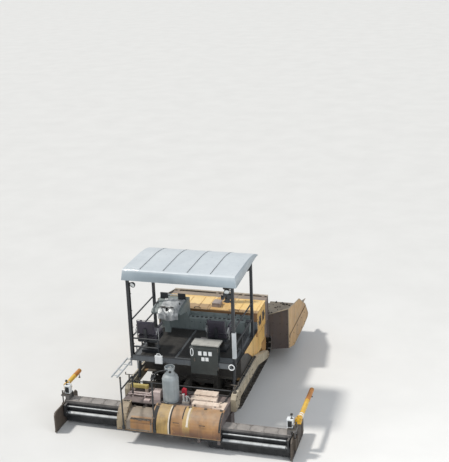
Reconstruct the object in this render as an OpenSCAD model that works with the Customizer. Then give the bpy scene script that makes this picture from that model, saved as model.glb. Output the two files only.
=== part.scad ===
// Asphalt paver on tracks: hopper in front (+Y), screed behind, operator's platform between.
// Lengths along Y are measured from the auger shaft; place() then centres the whole machine.

/* [Tracks] */
// Distance of each track's middle from the machine's centreline
track_x = 900; // [860:5:920]
// Width of a track shoe
track_w = 320; // [280:10:330]
// Height of the wheel centres, which is also the radius over the shoes
track_r = 375; // [360:5:390]
// Thickness of a shoe's pad
pad_t = 25; // [15:1:30]
// Thickness of the chain under the pads
chain_t = 45; // [35:1:50]
// Rear wheel centre
track_rear_y = 730; // [720:5:760]
// Distance between the rear and front wheel centres
track_base = 2560; // [2400:20:2600]
// Number of shoes on each track
shoe_count = 48; // [36:1:54]

/* [Main frame] */
// Clear half width between the frame's side beams
frame_in = 540; // [520:5:560]
// Width of a side beam
beam_w = 90; // [70:5:100]
// Underside of the frame
frame_low = 300; // [280:5:320]
// Top of the frame
frame_top = 800; // [790:1:805]
// Rear end of the frame
frame_rear = 240; // [230:5:250]
// Front end of the frame
frame_front = 4900; // [4880:10:4950]
// Height of the plate that the conveyor bars slide on
floor_z = 600; // [590:5:620]

/* [Hopper] */
// Rear wall of the hopper
hopper_rear = 2870; // [2860:5:2880]
// Foremost point of a wing
wing_front = 5310; // [5250:10:5400]
// Outer face of an open wing
wing_x = 1700; // [1650:10:1750]
// Distance of the wing hinge from the centreline
wing_hinge_x = 680; // [670:5:690]
// Height of the wing hinge
wing_hinge_z = 838; // [836:1:842]
// Thickness of the hopper plates
plate_t = 12; // [8:1:16]
// Top of a wing's side wall at its rear end
wing_top = 1590; // [1500:10:1650]
// Lower edge of a wing's side wall
wing_low = 350; // [330:5:400]
// Distance of the wing cylinder from the front of the tracks
wing_cyl_gap = 235; // [200:5:300]

/* [Push rollers] */
// Radius of a push roller
push_r = 85; // [70:5:95]
// Length of a push roller
push_l = 620; // [560:10:640]
// Place of the roller shaft along the machine
push_y = 5480; // [5440:10:5500]
// Height of the roller shaft
push_z = 500; // [480:10:520]

/* [Body] */
// Half width of the body and platform
body_x = 1200; // [1190:2:1210]
// Rear end of the lower body
body_rear = 260; // [250:5:280]
// Rear face of the engine hood
hood_rear = 1800; // [1780:10:1820]
// Front face of the engine hood
hood_front = 2830; // [2800:5:2845]
// Top of the engine hood
hood_top = 1900; // [1860:10:1940]
// Height of the operator's floor
deck_z = 1500; // [1480:5:1520]
// Thickness of the operator's floor
deck_t = 40; // [30:2:50]
// Rear edge of the operator's floor
deck_rear = -310; // [-330:5:-290]
// Thickness of the sheet metal covers
skin_t = 8; // [5:1:12]

/* [Canopy] */
// Highest point of the roof
roof_top = 3600; // [3500:10:3700]
// Rear lower edge of the roof
roof_rear = -290; // [-330:10:-250]
// Front edge of the roof
roof_front = 1620; // [1560:10:1660]
// Half width of the roof at its lower edge
roof_x = 1300; // [1280:5:1320]
// Thickness of the roof's skin
roof_t = 20; // [14:1:26]
// Width of a square canopy post
post_w = 60; // [50:2:70]

/* [Tow arms] */
// Tow pin's place along the machine
tow_y = 2400; // [2350:10:2450]
// Tow pin's height
tow_z = 560; // [540:5:580]
// Inner face of a tow arm
arm_x = 1170; // [1165:1:1180]
// Thickness of a tow arm
arm_t = 110; // [90:5:115]
// Radius of the tow pin
tow_pin_r = 30; // [24:1:34]

/* [Screed] */
// Half width of the fixed screed
screed_x = 1165; // [1150:1:1168]
// Height of the screed plates over the ground
mat_z = 50; // [30:5:70]
// Front face of the fixed screed
screed_front = -290; // [-300:5:-280]
// Depth of a screed section, front to rear
section_d = 250; // [240:2:260]
// Height of the top of the sliding sections
section_top = 500; // [480:5:510]
// Outer face of the end gates from the centreline
reach = 2800; // [2700:10:2850]
// Width of a sliding section
slide_w = 1800; // [1700:10:1850]
// Radius of the thick guide tube
tube_r = 50; // [40:1:52]
// Radius of the thin guide tube
rod_r = 22; // [16:1:24]
// Height of the screed's deck
screed_deck_z = 820; // [800:5:840]
// Thickness of an end gate
gate_t = 30; // [20:1:40]

/* [Auger] */
// Radius of the auger flights
auger_r = 180; // [160:5:190]
// Height of the auger shaft
auger_z = 330; // [320:5:350]
// Radius of the auger shaft
auger_shaft_r = 45; // [40:1:50]
// Outer end of an auger
auger_end = 1150; // [1100:10:1160]
// Pitch of the flights
auger_pitch = 300; // [250:10:350]

/* [Hidden] */
$fn = 48;
fit = 0.2; // radial clearance of a pin in its eye
gap = 0.3; // clearance between faces that only meet
run = 6; // clearance between moving pieces

// Shared values
track_in = track_x - track_w / 2;
track_out = track_x + track_w / 2;
track_front_y = track_rear_y + track_base;
wing_cyl_y = track_front_y + track_r + wing_cyl_gap;
chain_in = track_r - pad_t - chain_t;
frame_out = frame_in + beam_w;
slide_row_l = screed_front - section_d - 30;
slide_row_r = slide_row_l - section_d - 140;
front_y = push_y + push_r;
rail_r = 17;
cover_rear = slide_row_r - section_d - 2 * tube_r - 75;
post_y = cover_rear - gap - rail_r;
rear_y = post_y - rail_r;
mid_y = (front_y + rear_y) / 2;

// Puts the machine's middle over the origin
module place() translate([0, -mid_y, 0]) children();
// A box from corner to corner
module box(x, y, z) translate([x[0], y[0], z[0]]) cube([x[1] - x[0], y[1] - y[0], z[1] - z[0]]);
// A side view outline of [y, z] points, thick along X
module slab_x(x, points) translate([x[0], 0, 0]) rotate([90, 0, 90])
    linear_extrude(x[1] - x[0]) polygon(points);
// A front view outline of [x, z] points, long along Y
module slab_y(y, points) translate([0, y[1], 0]) rotate([90, 0, 0])
    linear_extrude(y[1] - y[0]) polygon(points);
// A round bar along X, Y or Z
module bar_x(x, y, z, r) translate([x[0], y, z]) rotate([0, 90, 0]) cylinder(h = x[1] - x[0], r = r);
module bar_y(x, y, z, r) translate([x, y[1], z]) rotate([90, 0, 0]) cylinder(h = y[1] - y[0], r = r);
module bar_z(x, y, z, r) translate([x, y, z[0]]) cylinder(h = z[1] - z[0], r = r);
// A round bar between two points of the side view, at one x
module bar_yz(x, a, b, r) translate([x, a[0], a[1]])
    rotate([atan2(b[1] - a[1], b[0] - a[0]) - 90, 0, 0])
    cylinder(h = norm(b - a), r = r);
// A round bar between two points of the front view, at one y
module bar_xz(y, a, b, r) translate([a[0], y, a[1]])
    rotate([0, 90 - atan2(b[1] - a[1], b[0] - a[0]), 0])
    cylinder(h = norm(b - a), r = r);
// The same on both sides of the machine
module both() {
    children();
    mirror([1, 0, 0]) children();
}

// A point of the track loop: s runs along the pitch line from the bottom rear, off is the radius
pitch_r = track_r - pad_t;
arc_len = PI * pitch_r;
loop_len = 2 * track_base + 2 * arc_len;
function loop_point(s, off) =
    let (t = (s + loop_len) % loop_len)
    t < track_base ? [track_rear_y + t, track_r - off] :
    t < track_base + arc_len ?
        let (a = -90 + 180 * (t - track_base) / arc_len)
        [track_front_y + off * cos(a), track_r + off * sin(a)] :
    t < 2 * track_base + arc_len ?
        [track_front_y - (t - track_base - arc_len), track_r + off] :
        let (a = 90 + 180 * (t - 2 * track_base - arc_len) / arc_len)
        [track_rear_y + off * cos(a), track_r + off * sin(a)];

shoe_pitch = loop_len / shoe_count;
pad_len = shoe_pitch * 0.78;

module track(side) color("dimgray")
    difference() {
        slab_x([side * track_x - track_w / 2, side * track_x + track_w / 2],
            [for (i = [0 : shoe_count - 1]) each [
                loop_point(i * shoe_pitch, track_r - pad_t),
                loop_point(i * shoe_pitch, track_r),
                loop_point(i * shoe_pitch + pad_len, track_r),
                loop_point(i * shoe_pitch + pad_len, track_r - pad_t)]]);
        track_hole(side, track_w / 2 + 1, chain_in);
    }

// The stadium inside the chain
module track_hole(side, half_w, r) {
    span = [side * track_x - half_w, side * track_x + half_w];
    box(span, [track_rear_y, track_front_y], [track_r - r, track_r + r]);
    for (y = [track_rear_y, track_front_y]) bar_x(span, y, track_r, r);
}

track_plate_in = track_x - 100;
track_plate_out = track_x + 100;
track_plate_t = 20;
roller_r = 90;
carrier_r = 60;
roller_count = 6;
roller_z = track_r - chain_in + roller_r + gap;
carrier_z = track_r + chain_in - carrier_r - gap;
plate_rear = track_rear_y + chain_in + 30;

module track_frames() color("#3d3c39") both() {
    for (x = [track_plate_in, track_plate_out - track_plate_t])
        slab_x([x, x + track_plate_t], [
            [plate_rear, 250], [plate_rear + 60, 110], [track_front_y - 330, 110],
            [track_front_y - 260, 300], [track_front_y + 70, 310], [track_front_y + 70, 440],
            [track_front_y - 300, 470], [plate_rear + 40, 470], [plate_rear, 420]]);
    box([track_plate_in + track_plate_t, track_plate_out - track_plate_t],
        [plate_rear + 60, track_front_y - 330], [440, 470]);
    for (y = [plate_rear + 200, track_front_y - 620])
        box([frame_out, track_plate_in], [y, y + 220], [330, 450]);
    for (y = [plate_rear + 330, track_front_y - 500])
        box([track_x - 20, track_x + 20], [y - 40, y + 40], [470, carrier_z - 20]);
}

module wheel(y, z, r, w) bar_x([track_x - w / 2, track_x + w / 2], y, z, r);

module track_wheels() color("#57534c") both() {
    span = track_plate_out - track_plate_in - 2 * track_plate_t;
    for (i = [0 : roller_count - 1]) {
        y = plate_rear + 130 + i * (track_base - 2 * chain_in - 190) / (roller_count - 1);
        wheel(y, roller_z, roller_r, 120);
        wheel(y, roller_z, 30, span);
    }
    for (y = [plate_rear + 330, track_front_y - 500])
        difference() {
            wheel(y, carrier_z, carrier_r, 150);
            box([track_x - 21, track_x + 21], [y - 70, y + 70], [carrier_z - 70, carrier_z - 19]);
        }
    wheel(track_front_y, track_r, chain_in - gap, 90);
    wheel(track_front_y, track_r, 60, span);
    sprocket();
    bar_x([frame_out, track_x + 110], track_rear_y, track_r, 150);
}

tooth_count = 13;
module sprocket() slab_x([track_x - 35, track_x + 35],
    [for (i = [0 : tooth_count - 1], k = [[-0.34, -42], [-0.14, -gap], [0.14, -gap], [0.34, -42]])
        let (a = 360 * (i + k[0]) / tooth_count, r = chain_in + k[1])
        [track_rear_y + r * cos(a), track_r + r * sin(a)]]);

// Frame between the tracks, with the hinges of the wings and the towing brackets
beam_front_low = frame_low + 120;
lug_t = 25;
hinge_lug_y = [hopper_rear + plate_t + 20, frame_front - lug_t];
hinge_pin_r = 15;
cyl_foot = [frame_out + 45, 470];

module main_frame() color("#45423c") {
    both() {
        slab_x([frame_in, frame_out], [
            [frame_rear, frame_low], [3400, frame_low], [3650, beam_front_low],
            [frame_front, beam_front_low], [frame_front, frame_top], [frame_rear, frame_top]]);
        for (y = [hinge_lug_y[0] - lug_t, hinge_lug_y[1]])
            box([frame_out - 20, wing_hinge_x + 22], [y, y + lug_t],
                [frame_top - 60, wing_hinge_z + 22]);
        bar_y(wing_hinge_x, [hinge_lug_y[0] - lug_t, hinge_lug_y[0] + 50], wing_hinge_z, hinge_pin_r);
        bar_y(wing_hinge_x, [hinge_lug_y[1] - 50, hinge_lug_y[1] + lug_t], wing_hinge_z, hinge_pin_r);
        for (y = [wing_cyl_y - 45, wing_cyl_y + 25])
            box([frame_out, cyl_foot[0] + 30], [y, y + 20], [cyl_foot[1] - 40, cyl_foot[1] + 40]);
        bar_y(cyl_foot[0], [wing_cyl_y - 45, wing_cyl_y + 45], cyl_foot[1], hinge_pin_r);
        tow_bracket();
        tie_eye();
    }
    box([-frame_in, frame_in], [frame_rear, hopper_rear - 40], [frame_top - 20, frame_top]);
    for (y = [420, 1700, 3000])
        box([-frame_in, frame_in], [y, y + 100], [frame_low, frame_low + 60]);
    box([-frame_in, frame_in], [4300, 4400], [beam_front_low, beam_front_low + 18]);
    box([-frame_in, frame_in], [frame_front - 20, frame_front], [beam_front_low, floor_z]);
    for (z = [push_z - clevis_z - 20, push_z + clevis_z])
        box([-70, 70], [frame_front - 1, beam_y - 10], [z, z + 20]);
    bar_z(0, beam_y - 45, [push_z - clevis_z - 30, push_z + clevis_z + 30], beam_pin_r);
}

// Eye for lashing the machine down, with a real bore
eye_at = [4965, 510];
module tie_eye() difference() {
    slab_x([470, 500], [
        [frame_front - 1, 440], [eye_at[0] + 20, 460], [eye_at[0] + 42, 490], [eye_at[0] + 42, 530],
        [eye_at[0] + 20, 560], [frame_front - 1, 580]]);
    bar_x([469, 501], eye_at[0], eye_at[1], 22);
}

clevis_z = 66;
fender_z = track_r * 2 + 150;
side_x = arm_x - 10;
module tow_bracket() {
    box([frame_out, side_x - skin_t - gap], [body_rear + 60, hood_front - 10], [fender_z - 15, fender_z]);
    box([frame_out, frame_out + 12], [body_rear + 60, hood_front - 10], [frame_top - 80, fender_z - 15]);
    slab_x([track_out + 20, arm_x - 12], [
        [tow_y - 110, fender_z - 15], [tow_y - 70, tow_z - 60], [tow_y + 230, tow_z - 60],
        [tow_y + 300, tow_z + 40], [tow_y + 320, fender_z - 15]]);
    bar_x([arm_x - 12, arm_x + arm_t + 20], tow_y, tow_z, tow_pin_r);
    bar_x([arm_x + arm_t + 8, arm_x + arm_t + 20], tow_y, tow_z, tow_pin_r + 22);
}

// Plate that the bars drag the mix along, with the divider over the middle chains
shaft_front_y = frame_front - 115;
shaft_rear_y = frame_rear + 90;
chain_wheel_r = 65;
bar_t = 20;
shaft_z = floor_z + gap - chain_wheel_r;

module hopper_floor() color("#5a554d") {
    box([-frame_in, frame_in], [shaft_rear_y + 110, shaft_front_y - 110], [floor_z - 15, floor_z]);
    slab_y([shaft_rear_y + 110, shaft_front_y - 110],
        [[-35, floor_z], [35, floor_z], [35, floor_z + 60], [0, floor_z + 85], [-35, floor_z + 60]]);
    both() slab_y([hopper_rear + plate_t + gap, frame_front], [
        [frame_in - 30, floor_z + 90], [frame_in - 12, floor_z + 90], [frame_in - 12, frame_top + gap],
        [frame_out - 25, frame_top + gap], [frame_out - 25, frame_top + 15], [frame_in - 30, frame_top + 15]]);
    apron();
}

// Plate and rubber flap that close the hopper's front
module apron() {
    box([-frame_out, frame_out], [frame_front + gap, frame_front + 20], [floor_z, frame_top + 60]);
    slab_x([-frame_out - 300, frame_out + 300], [
        [frame_front + 20, frame_top - 40], [frame_front + 260, frame_top - 160],
        [frame_front + 270, frame_top - 140], [frame_front + 20, frame_top - 10]]);
}

tunnel_z = floor_z + 185;
wall_top = hood_top + 20;
module hopper_wall() color("#8a8577") difference() {
    union() {
        box([-body_x, body_x], [hopper_rear - 18, hopper_rear], [frame_top + gap, wall_top]);
        box([-frame_in, frame_in], [hopper_rear - 18, hopper_rear], [tunnel_z, frame_top + gap]);
        bar_x([-body_x, body_x], hopper_rear - 10, wall_top, 24);
    }
}

// Bar conveyors: four endless chains with scraper bars across each pair
conv_span = shaft_front_y - shaft_rear_y;
conv_r = chain_wheel_r + bar_t / 2;
conv_len = 2 * conv_span + 2 * PI * conv_r;
bar_count = 30;
module conveyor() color("#4c4843") {
    both() {
        for (x = [50, frame_in - 80]) conveyor_chain(x);
        for (i = [0 : bar_count - 1]) conveyor_bar(i * conv_len / bar_count);
    }
    for (y = [shaft_rear_y, shaft_front_y]) {
        bar_x([-frame_in, frame_in], y, shaft_z, 32);
        both() for (x = [50, frame_in - 80]) bar_x([x, x + 30], y, shaft_z, chain_wheel_r - gap);
    }
}
module conveyor_chain(x) difference() {
    union() {
        box([x, x + 30], [shaft_rear_y, shaft_front_y],
            [shaft_z - chain_wheel_r - bar_t, shaft_z + chain_wheel_r + bar_t]);
        for (y = [shaft_rear_y, shaft_front_y]) bar_x([x, x + 30], y, shaft_z, chain_wheel_r + bar_t);
    }
    box([x - 1, x + 31], [shaft_rear_y, shaft_front_y],
        [shaft_z - chain_wheel_r, shaft_z + chain_wheel_r]);
    for (y = [shaft_rear_y, shaft_front_y]) bar_x([x - 1, x + 31], y, shaft_z, chain_wheel_r);
}
// A scraper bar between the chains of one conveyor, s along the loop
module conveyor_bar(s) {
    half = conv_len / 2;
    top = s < half;
    t = top ? s : s - half;
    if (t < conv_span)
        box([80 - gap, frame_in - 80 + gap],
            [shaft_rear_y + t - 12, shaft_rear_y + t + 12],
            top ? [shaft_z + chain_wheel_r + 1, shaft_z + chain_wheel_r + bar_t + 8] :
                [shaft_z - chain_wheel_r - bar_t - 8, shaft_z - chain_wheel_r - 1]);
}

// Beam with the rollers that push the truck; it swings a little about an upright pin
beam_y = frame_front + 320;
beam_pin_r = 30;
roller_gap = 60;
module push_beam() color("#45423c") {
    difference() {
        union() {
            box([-push_l - roller_gap - 60, push_l + roller_gap + 60], [beam_y, beam_y + 90], [push_z - 80, push_z + 80]);
            box([-90, 90], [beam_y - 90, beam_y + 1], [push_z - 60, push_z + 60]);
        }
        bar_z(0, beam_y - 45, [push_z - 90, push_z + 90], beam_pin_r + fit);
    }
    both() for (x = [roller_gap / 2 - 20, roller_gap + push_l + 20])
        slab_x([x, x + 20], [
            [beam_y + 90, push_z - 70], [push_y + 10, push_z - 35], [push_y + 35, push_z],
            [push_y + 10, push_z + 35], [beam_y + 90, push_z + 70]]);
    both() bar_x([roller_gap / 2, roller_gap + push_l + 20], push_y, push_z, 20 - fit);
}
module push_roller(side) color("#6b665e") {
    x0 = roller_gap + 5;
    difference() {
        bar_x(side > 0 ? [x0, x0 + push_l] : [-x0 - push_l, -x0], push_y, push_z, push_r);
        bar_x(side > 0 ? [x0 - 1, x0 + push_l + 1] : [-x0 - push_l - 1, -x0 + 1], push_y, push_z, 20);
    }
}

// Hopper wings
wing_rear = hopper_rear + plate_t + 22;
wing_floor_front = wing_front - 270;
wing_cyl_eye = [wing_x - 400, wing_hinge_z - 78];
wing_pin_r = 15;
function wing_floor(x) = [
    [x, wing_hinge_z - 6], [wing_x - 230, wing_hinge_z - 6],
    [wing_x - plate_t, wing_hinge_z + 160], [wing_x - plate_t, wing_hinge_z + 176],
    [wing_x - 236, wing_hinge_z + 6], [x, wing_hinge_z + 6]];
module wing(side) color("#caa25a") mirror([side > 0 ? 0 : 1, 0, 0]) {
    x_in = wing_hinge_x + 25;
    difference() {
        union() {
            slab_y([wing_rear, hinge_lug_y[1] - 3], wing_floor(wing_hinge_x));
            slab_y([hinge_lug_y[1] - 4, wing_floor_front], wing_floor(wing_hinge_x + 45));
            bar_y(wing_hinge_x, [hinge_lug_y[0] + 3, hinge_lug_y[1] - 3], wing_hinge_z, 24);
        }
        bar_y(wing_hinge_x, [hinge_lug_y[0], hinge_lug_y[1]], wing_hinge_z, hinge_pin_r + fit);
    }
    slab_x([wing_x - plate_t, wing_x], [
        [wing_rear, wing_low + 190], [wing_rear, wing_top], [wing_rear + 1270, wing_top - 240],
        [wing_front - 390, wing_top - 690], [wing_front, wing_low + 130],
        [wing_front - 60, wing_low + 50], [wing_front - 540, wing_low], [wing_rear + 580, wing_low]]);
    slab_y([wing_rear, wing_rear + plate_t], [
        [x_in, wing_hinge_z], [wing_x - 450, wing_hinge_z], [wing_x - 450, wing_low + 110],
        [wing_x - plate_t, wing_low + 190], [wing_x - plate_t, wing_top],
        [wing_x - 450, wing_top - 170], [x_in, wing_top - 380]]);
    for (y = [wing_cyl_y - 45, wing_cyl_y + 25])
        slab_y([y, y + 20], [
            [wing_cyl_eye[0] - 60, wing_hinge_z - 6], [wing_cyl_eye[0] - 35, wing_cyl_eye[1] - 35],
            [wing_cyl_eye[0] + 35, wing_cyl_eye[1] - 35], [wing_cyl_eye[0] + 60, wing_hinge_z - 6]]);
    bar_y(wing_cyl_eye[0], [wing_cyl_y - 25, wing_cyl_y + 25], wing_cyl_eye[1], wing_pin_r);
}

// Wing cylinder: the barrel turns on the frame's pin, the rod slides in it
eye_r = 46;
eye_t = 40;
eye_play = 16; // room for the open end of a linkage to drift
wing_dir = (wing_cyl_eye - cyl_foot) / norm(wing_cyl_eye - cyl_foot);
wing_cyl_len = norm(wing_cyl_eye - cyl_foot);
barrel_r = 42;
neck_l = 60;
rod_in = 260;
module wing_barrel(side) color("#2f2e2c") mirror([side > 0 ? 0 : 1, 0, 0]) {
    a = cyl_foot + neck_l * wing_dir;
    b = cyl_foot + (wing_cyl_len - 250) * wing_dir;
    difference() {
        union() {
            bar_y(cyl_foot[0], [wing_cyl_y - eye_t / 2, wing_cyl_y + eye_t / 2], cyl_foot[1], 34);
            bar_xz(wing_cyl_y, cyl_foot + 22 * wing_dir, a + wing_dir, 18);
            bar_xz(wing_cyl_y, a, b, barrel_r);
        }
        bar_y(cyl_foot[0], [wing_cyl_y - 60, wing_cyl_y + 60], cyl_foot[1], hinge_pin_r + fit);
        bar_xz(wing_cyl_y, b - (rod_in + 80) * wing_dir, b + wing_dir, 22 + fit);
    }
}
module wing_rod(side) color("silver") mirror([side > 0 ? 0 : 1, 0, 0]) difference() {
    union() {
        bar_xz(wing_cyl_y, cyl_foot + (wing_cyl_len - 250 - rod_in) * wing_dir,
            cyl_foot + (wing_cyl_len - 38) * wing_dir, 22);
        bar_y(wing_cyl_eye[0], [wing_cyl_y - 18, wing_cyl_y + 18], wing_cyl_eye[1], eye_r);
    }
    bar_y(wing_cyl_eye[0], [wing_cyl_y - 60, wing_cyl_y + 60], wing_cyl_eye[1], wing_pin_r + eye_play);
}

// Tanks and pump housing under the operator's floor
module lower_body() color("#3a3936") {
    box([-frame_out, frame_out], [body_rear, hood_rear - 20], [frame_top, deck_z - deck_t]);
    both() box([frame_out, side_x - skin_t - gap], [body_rear + 160, hood_rear - 20],
        [fender_z, deck_z - deck_t]);
}

// Yellow side covers with an arch over the track
module side_covers() color("#c9973a") both()
    slab_x([side_x - skin_t, side_x], [
        [body_rear + 420, deck_z - deck_t - 1], [body_rear + 480, deck_z - 150],
        [body_rear + 740, deck_z - 260], [body_rear + 1140, fender_z + 60],
        [body_rear + 1500, fender_z - 100], [tow_y - 130, fender_z - 100],
        [tow_y - 130, fender_z + 10], [hood_front - 10, fender_z + 10],
        [hood_front - 10, hood_side_low - 5], [hood_rear - 6, hood_side_low - 5],
        [hood_rear - 6, deck_z - deck_t - 1]]);

engine_w = 860;
engine_clear = 120;
mount_w = 80;
mount_h = 60;
module engine() color("#55524d") {
    box([-engine_w / 2, engine_w / 2], [hood_rear + engine_clear, hood_front - engine_clear],
        [frame_top + mount_h, hood_top - exhaust_root]);
    for (x = [-engine_w / 2 + 30, engine_w / 2 - mount_w - 30],
        y = [hood_rear + engine_clear + 40, hood_front - engine_clear - mount_w - 40])
        box([x, x + mount_w], [y, y + mount_w], [frame_top, frame_top + mount_h]);
}

// Hood: walls on the fender plates, a fixed strip that carries the exhaust, two lids
strip_x = [20, 470];
lid_t = 10;
exhaust_x = 310;
exhaust_y = 2330;
exhaust_r = 55;
exhaust_rise = 1240;
exhaust_root = 160;
mouth_depth = 190;
muffler_z = [350, 1000];
muffler_t = 35;
hood_side_low = deck_z - 195;
module hood_body() color("#e0b45a") {
    x_out = body_x - skin_t;
    z_lid = hood_top - lid_t - gap;
    difference() {
        box([-x_out, x_out], [hood_rear, hood_front], [hood_side_low, z_lid]);
        box([-x_out + skin_t, x_out - skin_t], [hood_rear + skin_t, hood_front - skin_t],
            [hood_side_low - 1, z_lid + 1]);
        for (x = [-x_out - 1, x_out - skin_t - 1], y = [hood_rear + 180, hood_rear + 480])
            box([x, x + skin_t + 2], [y, y + 180], [hood_side_low + 180, z_lid - 160]);
    }
    difference() {
        box(strip_x, [hood_rear + 10, hood_front], [z_lid - 20, hood_top]);
        bar_z(exhaust_x, exhaust_y, [z_lid - 30, hood_top + 1], exhaust_r + fit);
    }
    for (x = lid_hinge_x) {
        for (e = [x - 14, x + 66]) slab_x([e, e + 8], [
            [hood_front, hood_top - 20], [hood_front, lid_pin[1] + 5], [hood_front - 6, lid_pin[1] + 12],
            [hood_front - 22, lid_pin[1] + 12], [hood_front - 28, lid_pin[1] + 5],
            [hood_front - 28, lid_pin[1] - 7], [hood_front - 7, hood_top - 20]]);
        bar_x([x - 14, x + 74], lid_pin[0], lid_pin[1], 8);
    }
    both() for (y = [hood_rear, hood_front - skin_t])
        box([frame_out + 20, side_x - skin_t - gap], [y, y + skin_t], [fender_z, hood_side_low + 5]);
}
// Pin of the lids, and where the hinges stand on it
lid_pin = [hood_front - 14, hood_top + 10];
lid_hinge_x = [-1120, -100, 560, 1060];
module hood_lid(side) color("#ecc476") {
    box(side > 0 ? [strip_x[1] + run, body_x] : [-body_x, strip_x[0] - run],
        [hood_rear - 10, hood_front - 34], [hood_top - lid_t, hood_top]);
    for (x = lid_hinge_x) if ((x > 100) == (side > 0)) difference() {
        union() {
            bar_x([x, x + 60], lid_pin[0], lid_pin[1], 14);
            slab_x([x, x + 60], [
                [hood_front - 56, hood_top - 1], [lid_pin[0] + 2, hood_top - 1],
                [lid_pin[0] + 2, lid_pin[1] + 8], [hood_front - 56, hood_top + 5]]);
        }
        bar_x([x - 1, x + 61], lid_pin[0], lid_pin[1], 8 + fit);
    }
}

module exhaust() color("#4a4743") {
    difference() {
        union() {
            bar_z(exhaust_x, exhaust_y, [hood_top - exhaust_root, hood_top + exhaust_rise], exhaust_r);
            bar_z(exhaust_x, exhaust_y, [for (z = muffler_z) hood_top + z], exhaust_r + muffler_t);
        }
        bar_z(exhaust_x, exhaust_y, [hood_top + exhaust_rise - mouth_depth, hood_top + exhaust_rise + 1],
            exhaust_r - 6);
    }
}

toe_h = 90;
toe_t = 12;
dash_w = 20;
dash_h = 180;
module platform() color("#33322f") {
    box([-body_x, body_x], [deck_rear, hood_rear - dash_w], [deck_z - deck_t, deck_z]);
    box([-body_x, body_x], [hood_rear - 3 * dash_w, hood_rear - dash_w], [deck_z, deck_z + dash_h]);
    box([-body_x + 60, body_x - 60], [deck_rear, deck_rear + toe_t], [deck_z, deck_z + toe_h]);
    lift_ears();
}

// Dash across the platform and the operator's desk; outlines are y from the dash and z from its top
console_y = 1480;
console_w = 2160;
console_d = 200;
console_h = 280;
rim = [20, 100];
desk_x = [-1130, -420];
desk_side = [[0, 0], [-20, 180], [-520, 280], [-540, 330], [-480, 370], [console_d, 450], [console_d, 0]];
column_x = [-900, -760];
column_side = [[-300, -console_h], [-240, -console_h], [-200, 200], [-300, 230]];
function at_desk(side) = [for (p = side) [console_y + p[0], deck_z + console_h + p[1]]];
module console() color("#3b403b") {
    desk_z = deck_z + console_h;
    box([-console_w / 2, console_w / 2], [console_y, console_y + console_d], [deck_z, desk_z]);
    box([-console_w / 2 - 2 * rim[0], console_w / 2 + 2 * rim[0]],
        [console_y + console_d - rim[0], console_y + console_d], [desk_z, desk_z + rim[1]]);
    slab_x(desk_x, at_desk(desk_side));
    slab_x(column_x, at_desk(column_side));
}

rear_box_x = [230, 820];
rear_box_z = [deck_z - 200, deck_z + 400];
module rear_box() color("#2a2e2e") {
    slab_x(rear_box_x, [
        [deck_rear + 240, deck_z + gap], [deck_rear + 240, rear_box_z[1]], [deck_rear - 30, rear_box_z[1]],
        [deck_rear - 30, rear_box_z[0]], [deck_rear - gap, rear_box_z[0]], [deck_rear - gap, deck_z + toe_h + gap],
        [deck_rear + toe_t + gap, deck_z + toe_h + gap], [deck_rear + toe_t + gap, deck_z + gap]]);
    slab_x([rear_box_x[0] - 10, rear_box_x[1] + 10], [
        [deck_rear + 250, rear_box_z[1]], [deck_rear + 250, rear_box_z[1] + 35],
        [deck_rear - 20, rear_box_z[1] + 35], [deck_rear - 42, rear_box_z[1] + 15], [deck_rear - 42, rear_box_z[1]]]);
}

// Places of the two seats: x, y
seats = [[-880, 190], [650, 550]];
seat_z = 360;
module at_seats() for (s = seats) translate([s[0], s[1], deck_z]) children();
module seat_bases() color("#2c2b29") at_seats() {
    box([-170, 170], [-150, 150], [0, 60]);
    bar_z(0, 0, [60, seat_z - 60], 70);
    box([-220, 220], [-230, 230], [seat_z - 60, seat_z - gap]);
    slab_x([-30, 30], [
        [-229, seat_z - 50], [-300, seat_z + 40], [-335, seat_z + 300], [-295.4, seat_z + 300],
        [-270.4, seat_z + 120], [-262, seat_z + 30], [-229, seat_z - 20]]);
}
module seat_pads() color("#2e2833") at_seats() {
    box([-235, 235], [-240, 250], [seat_z, seat_z + 110]);
    slab_x([-225, 225], [
        [-270, seat_z + 120], [-180, seat_z + 125], [-240, seat_z + 480], [-320, seat_z + 480]]);
}

post_x = 1190;
post_rear_y = -200;
post_front_y = 1340;
post_top = roof_top - 100;
module canopy_posts() color("#262a2e") {
    both() for (y = [post_rear_y, post_front_y])
        box([post_x - post_w / 2, post_x + post_w / 2], [y - post_w / 2, y + post_w / 2],
            [deck_z, post_top]);
    both() slab_x([post_x - 20, post_x + 20], concat(
        [[post_front_y + 30, post_top - 40], [post_front_y + 30, roof_under(post_front_y + 30)]],
        [for (y = [1210, 860, post_rear_y]) [y, roof_under(y)]],
        [[post_rear_y - 30, post_top], [post_rear_y - 30, post_top - 40]]));
    for (y = [post_rear_y + 40, 500, post_front_y - 60])
        box([-post_x, post_x], [y, y + 40], [post_top - 40, post_top]);
}
function roof_under(y) = lookup(y, [
    [post_rear_y - 30, roof_top - roof_t - 8], [post_rear_y, roof_top - roof_t],
    [roof_rear + 1150, roof_top - roof_t], [roof_rear + 1500, roof_top - 35 - roof_t],
    [roof_front - 185, roof_top - 85 - roof_t], [roof_front - 30, roof_top - 140 - roof_t]]) - gap;

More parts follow.
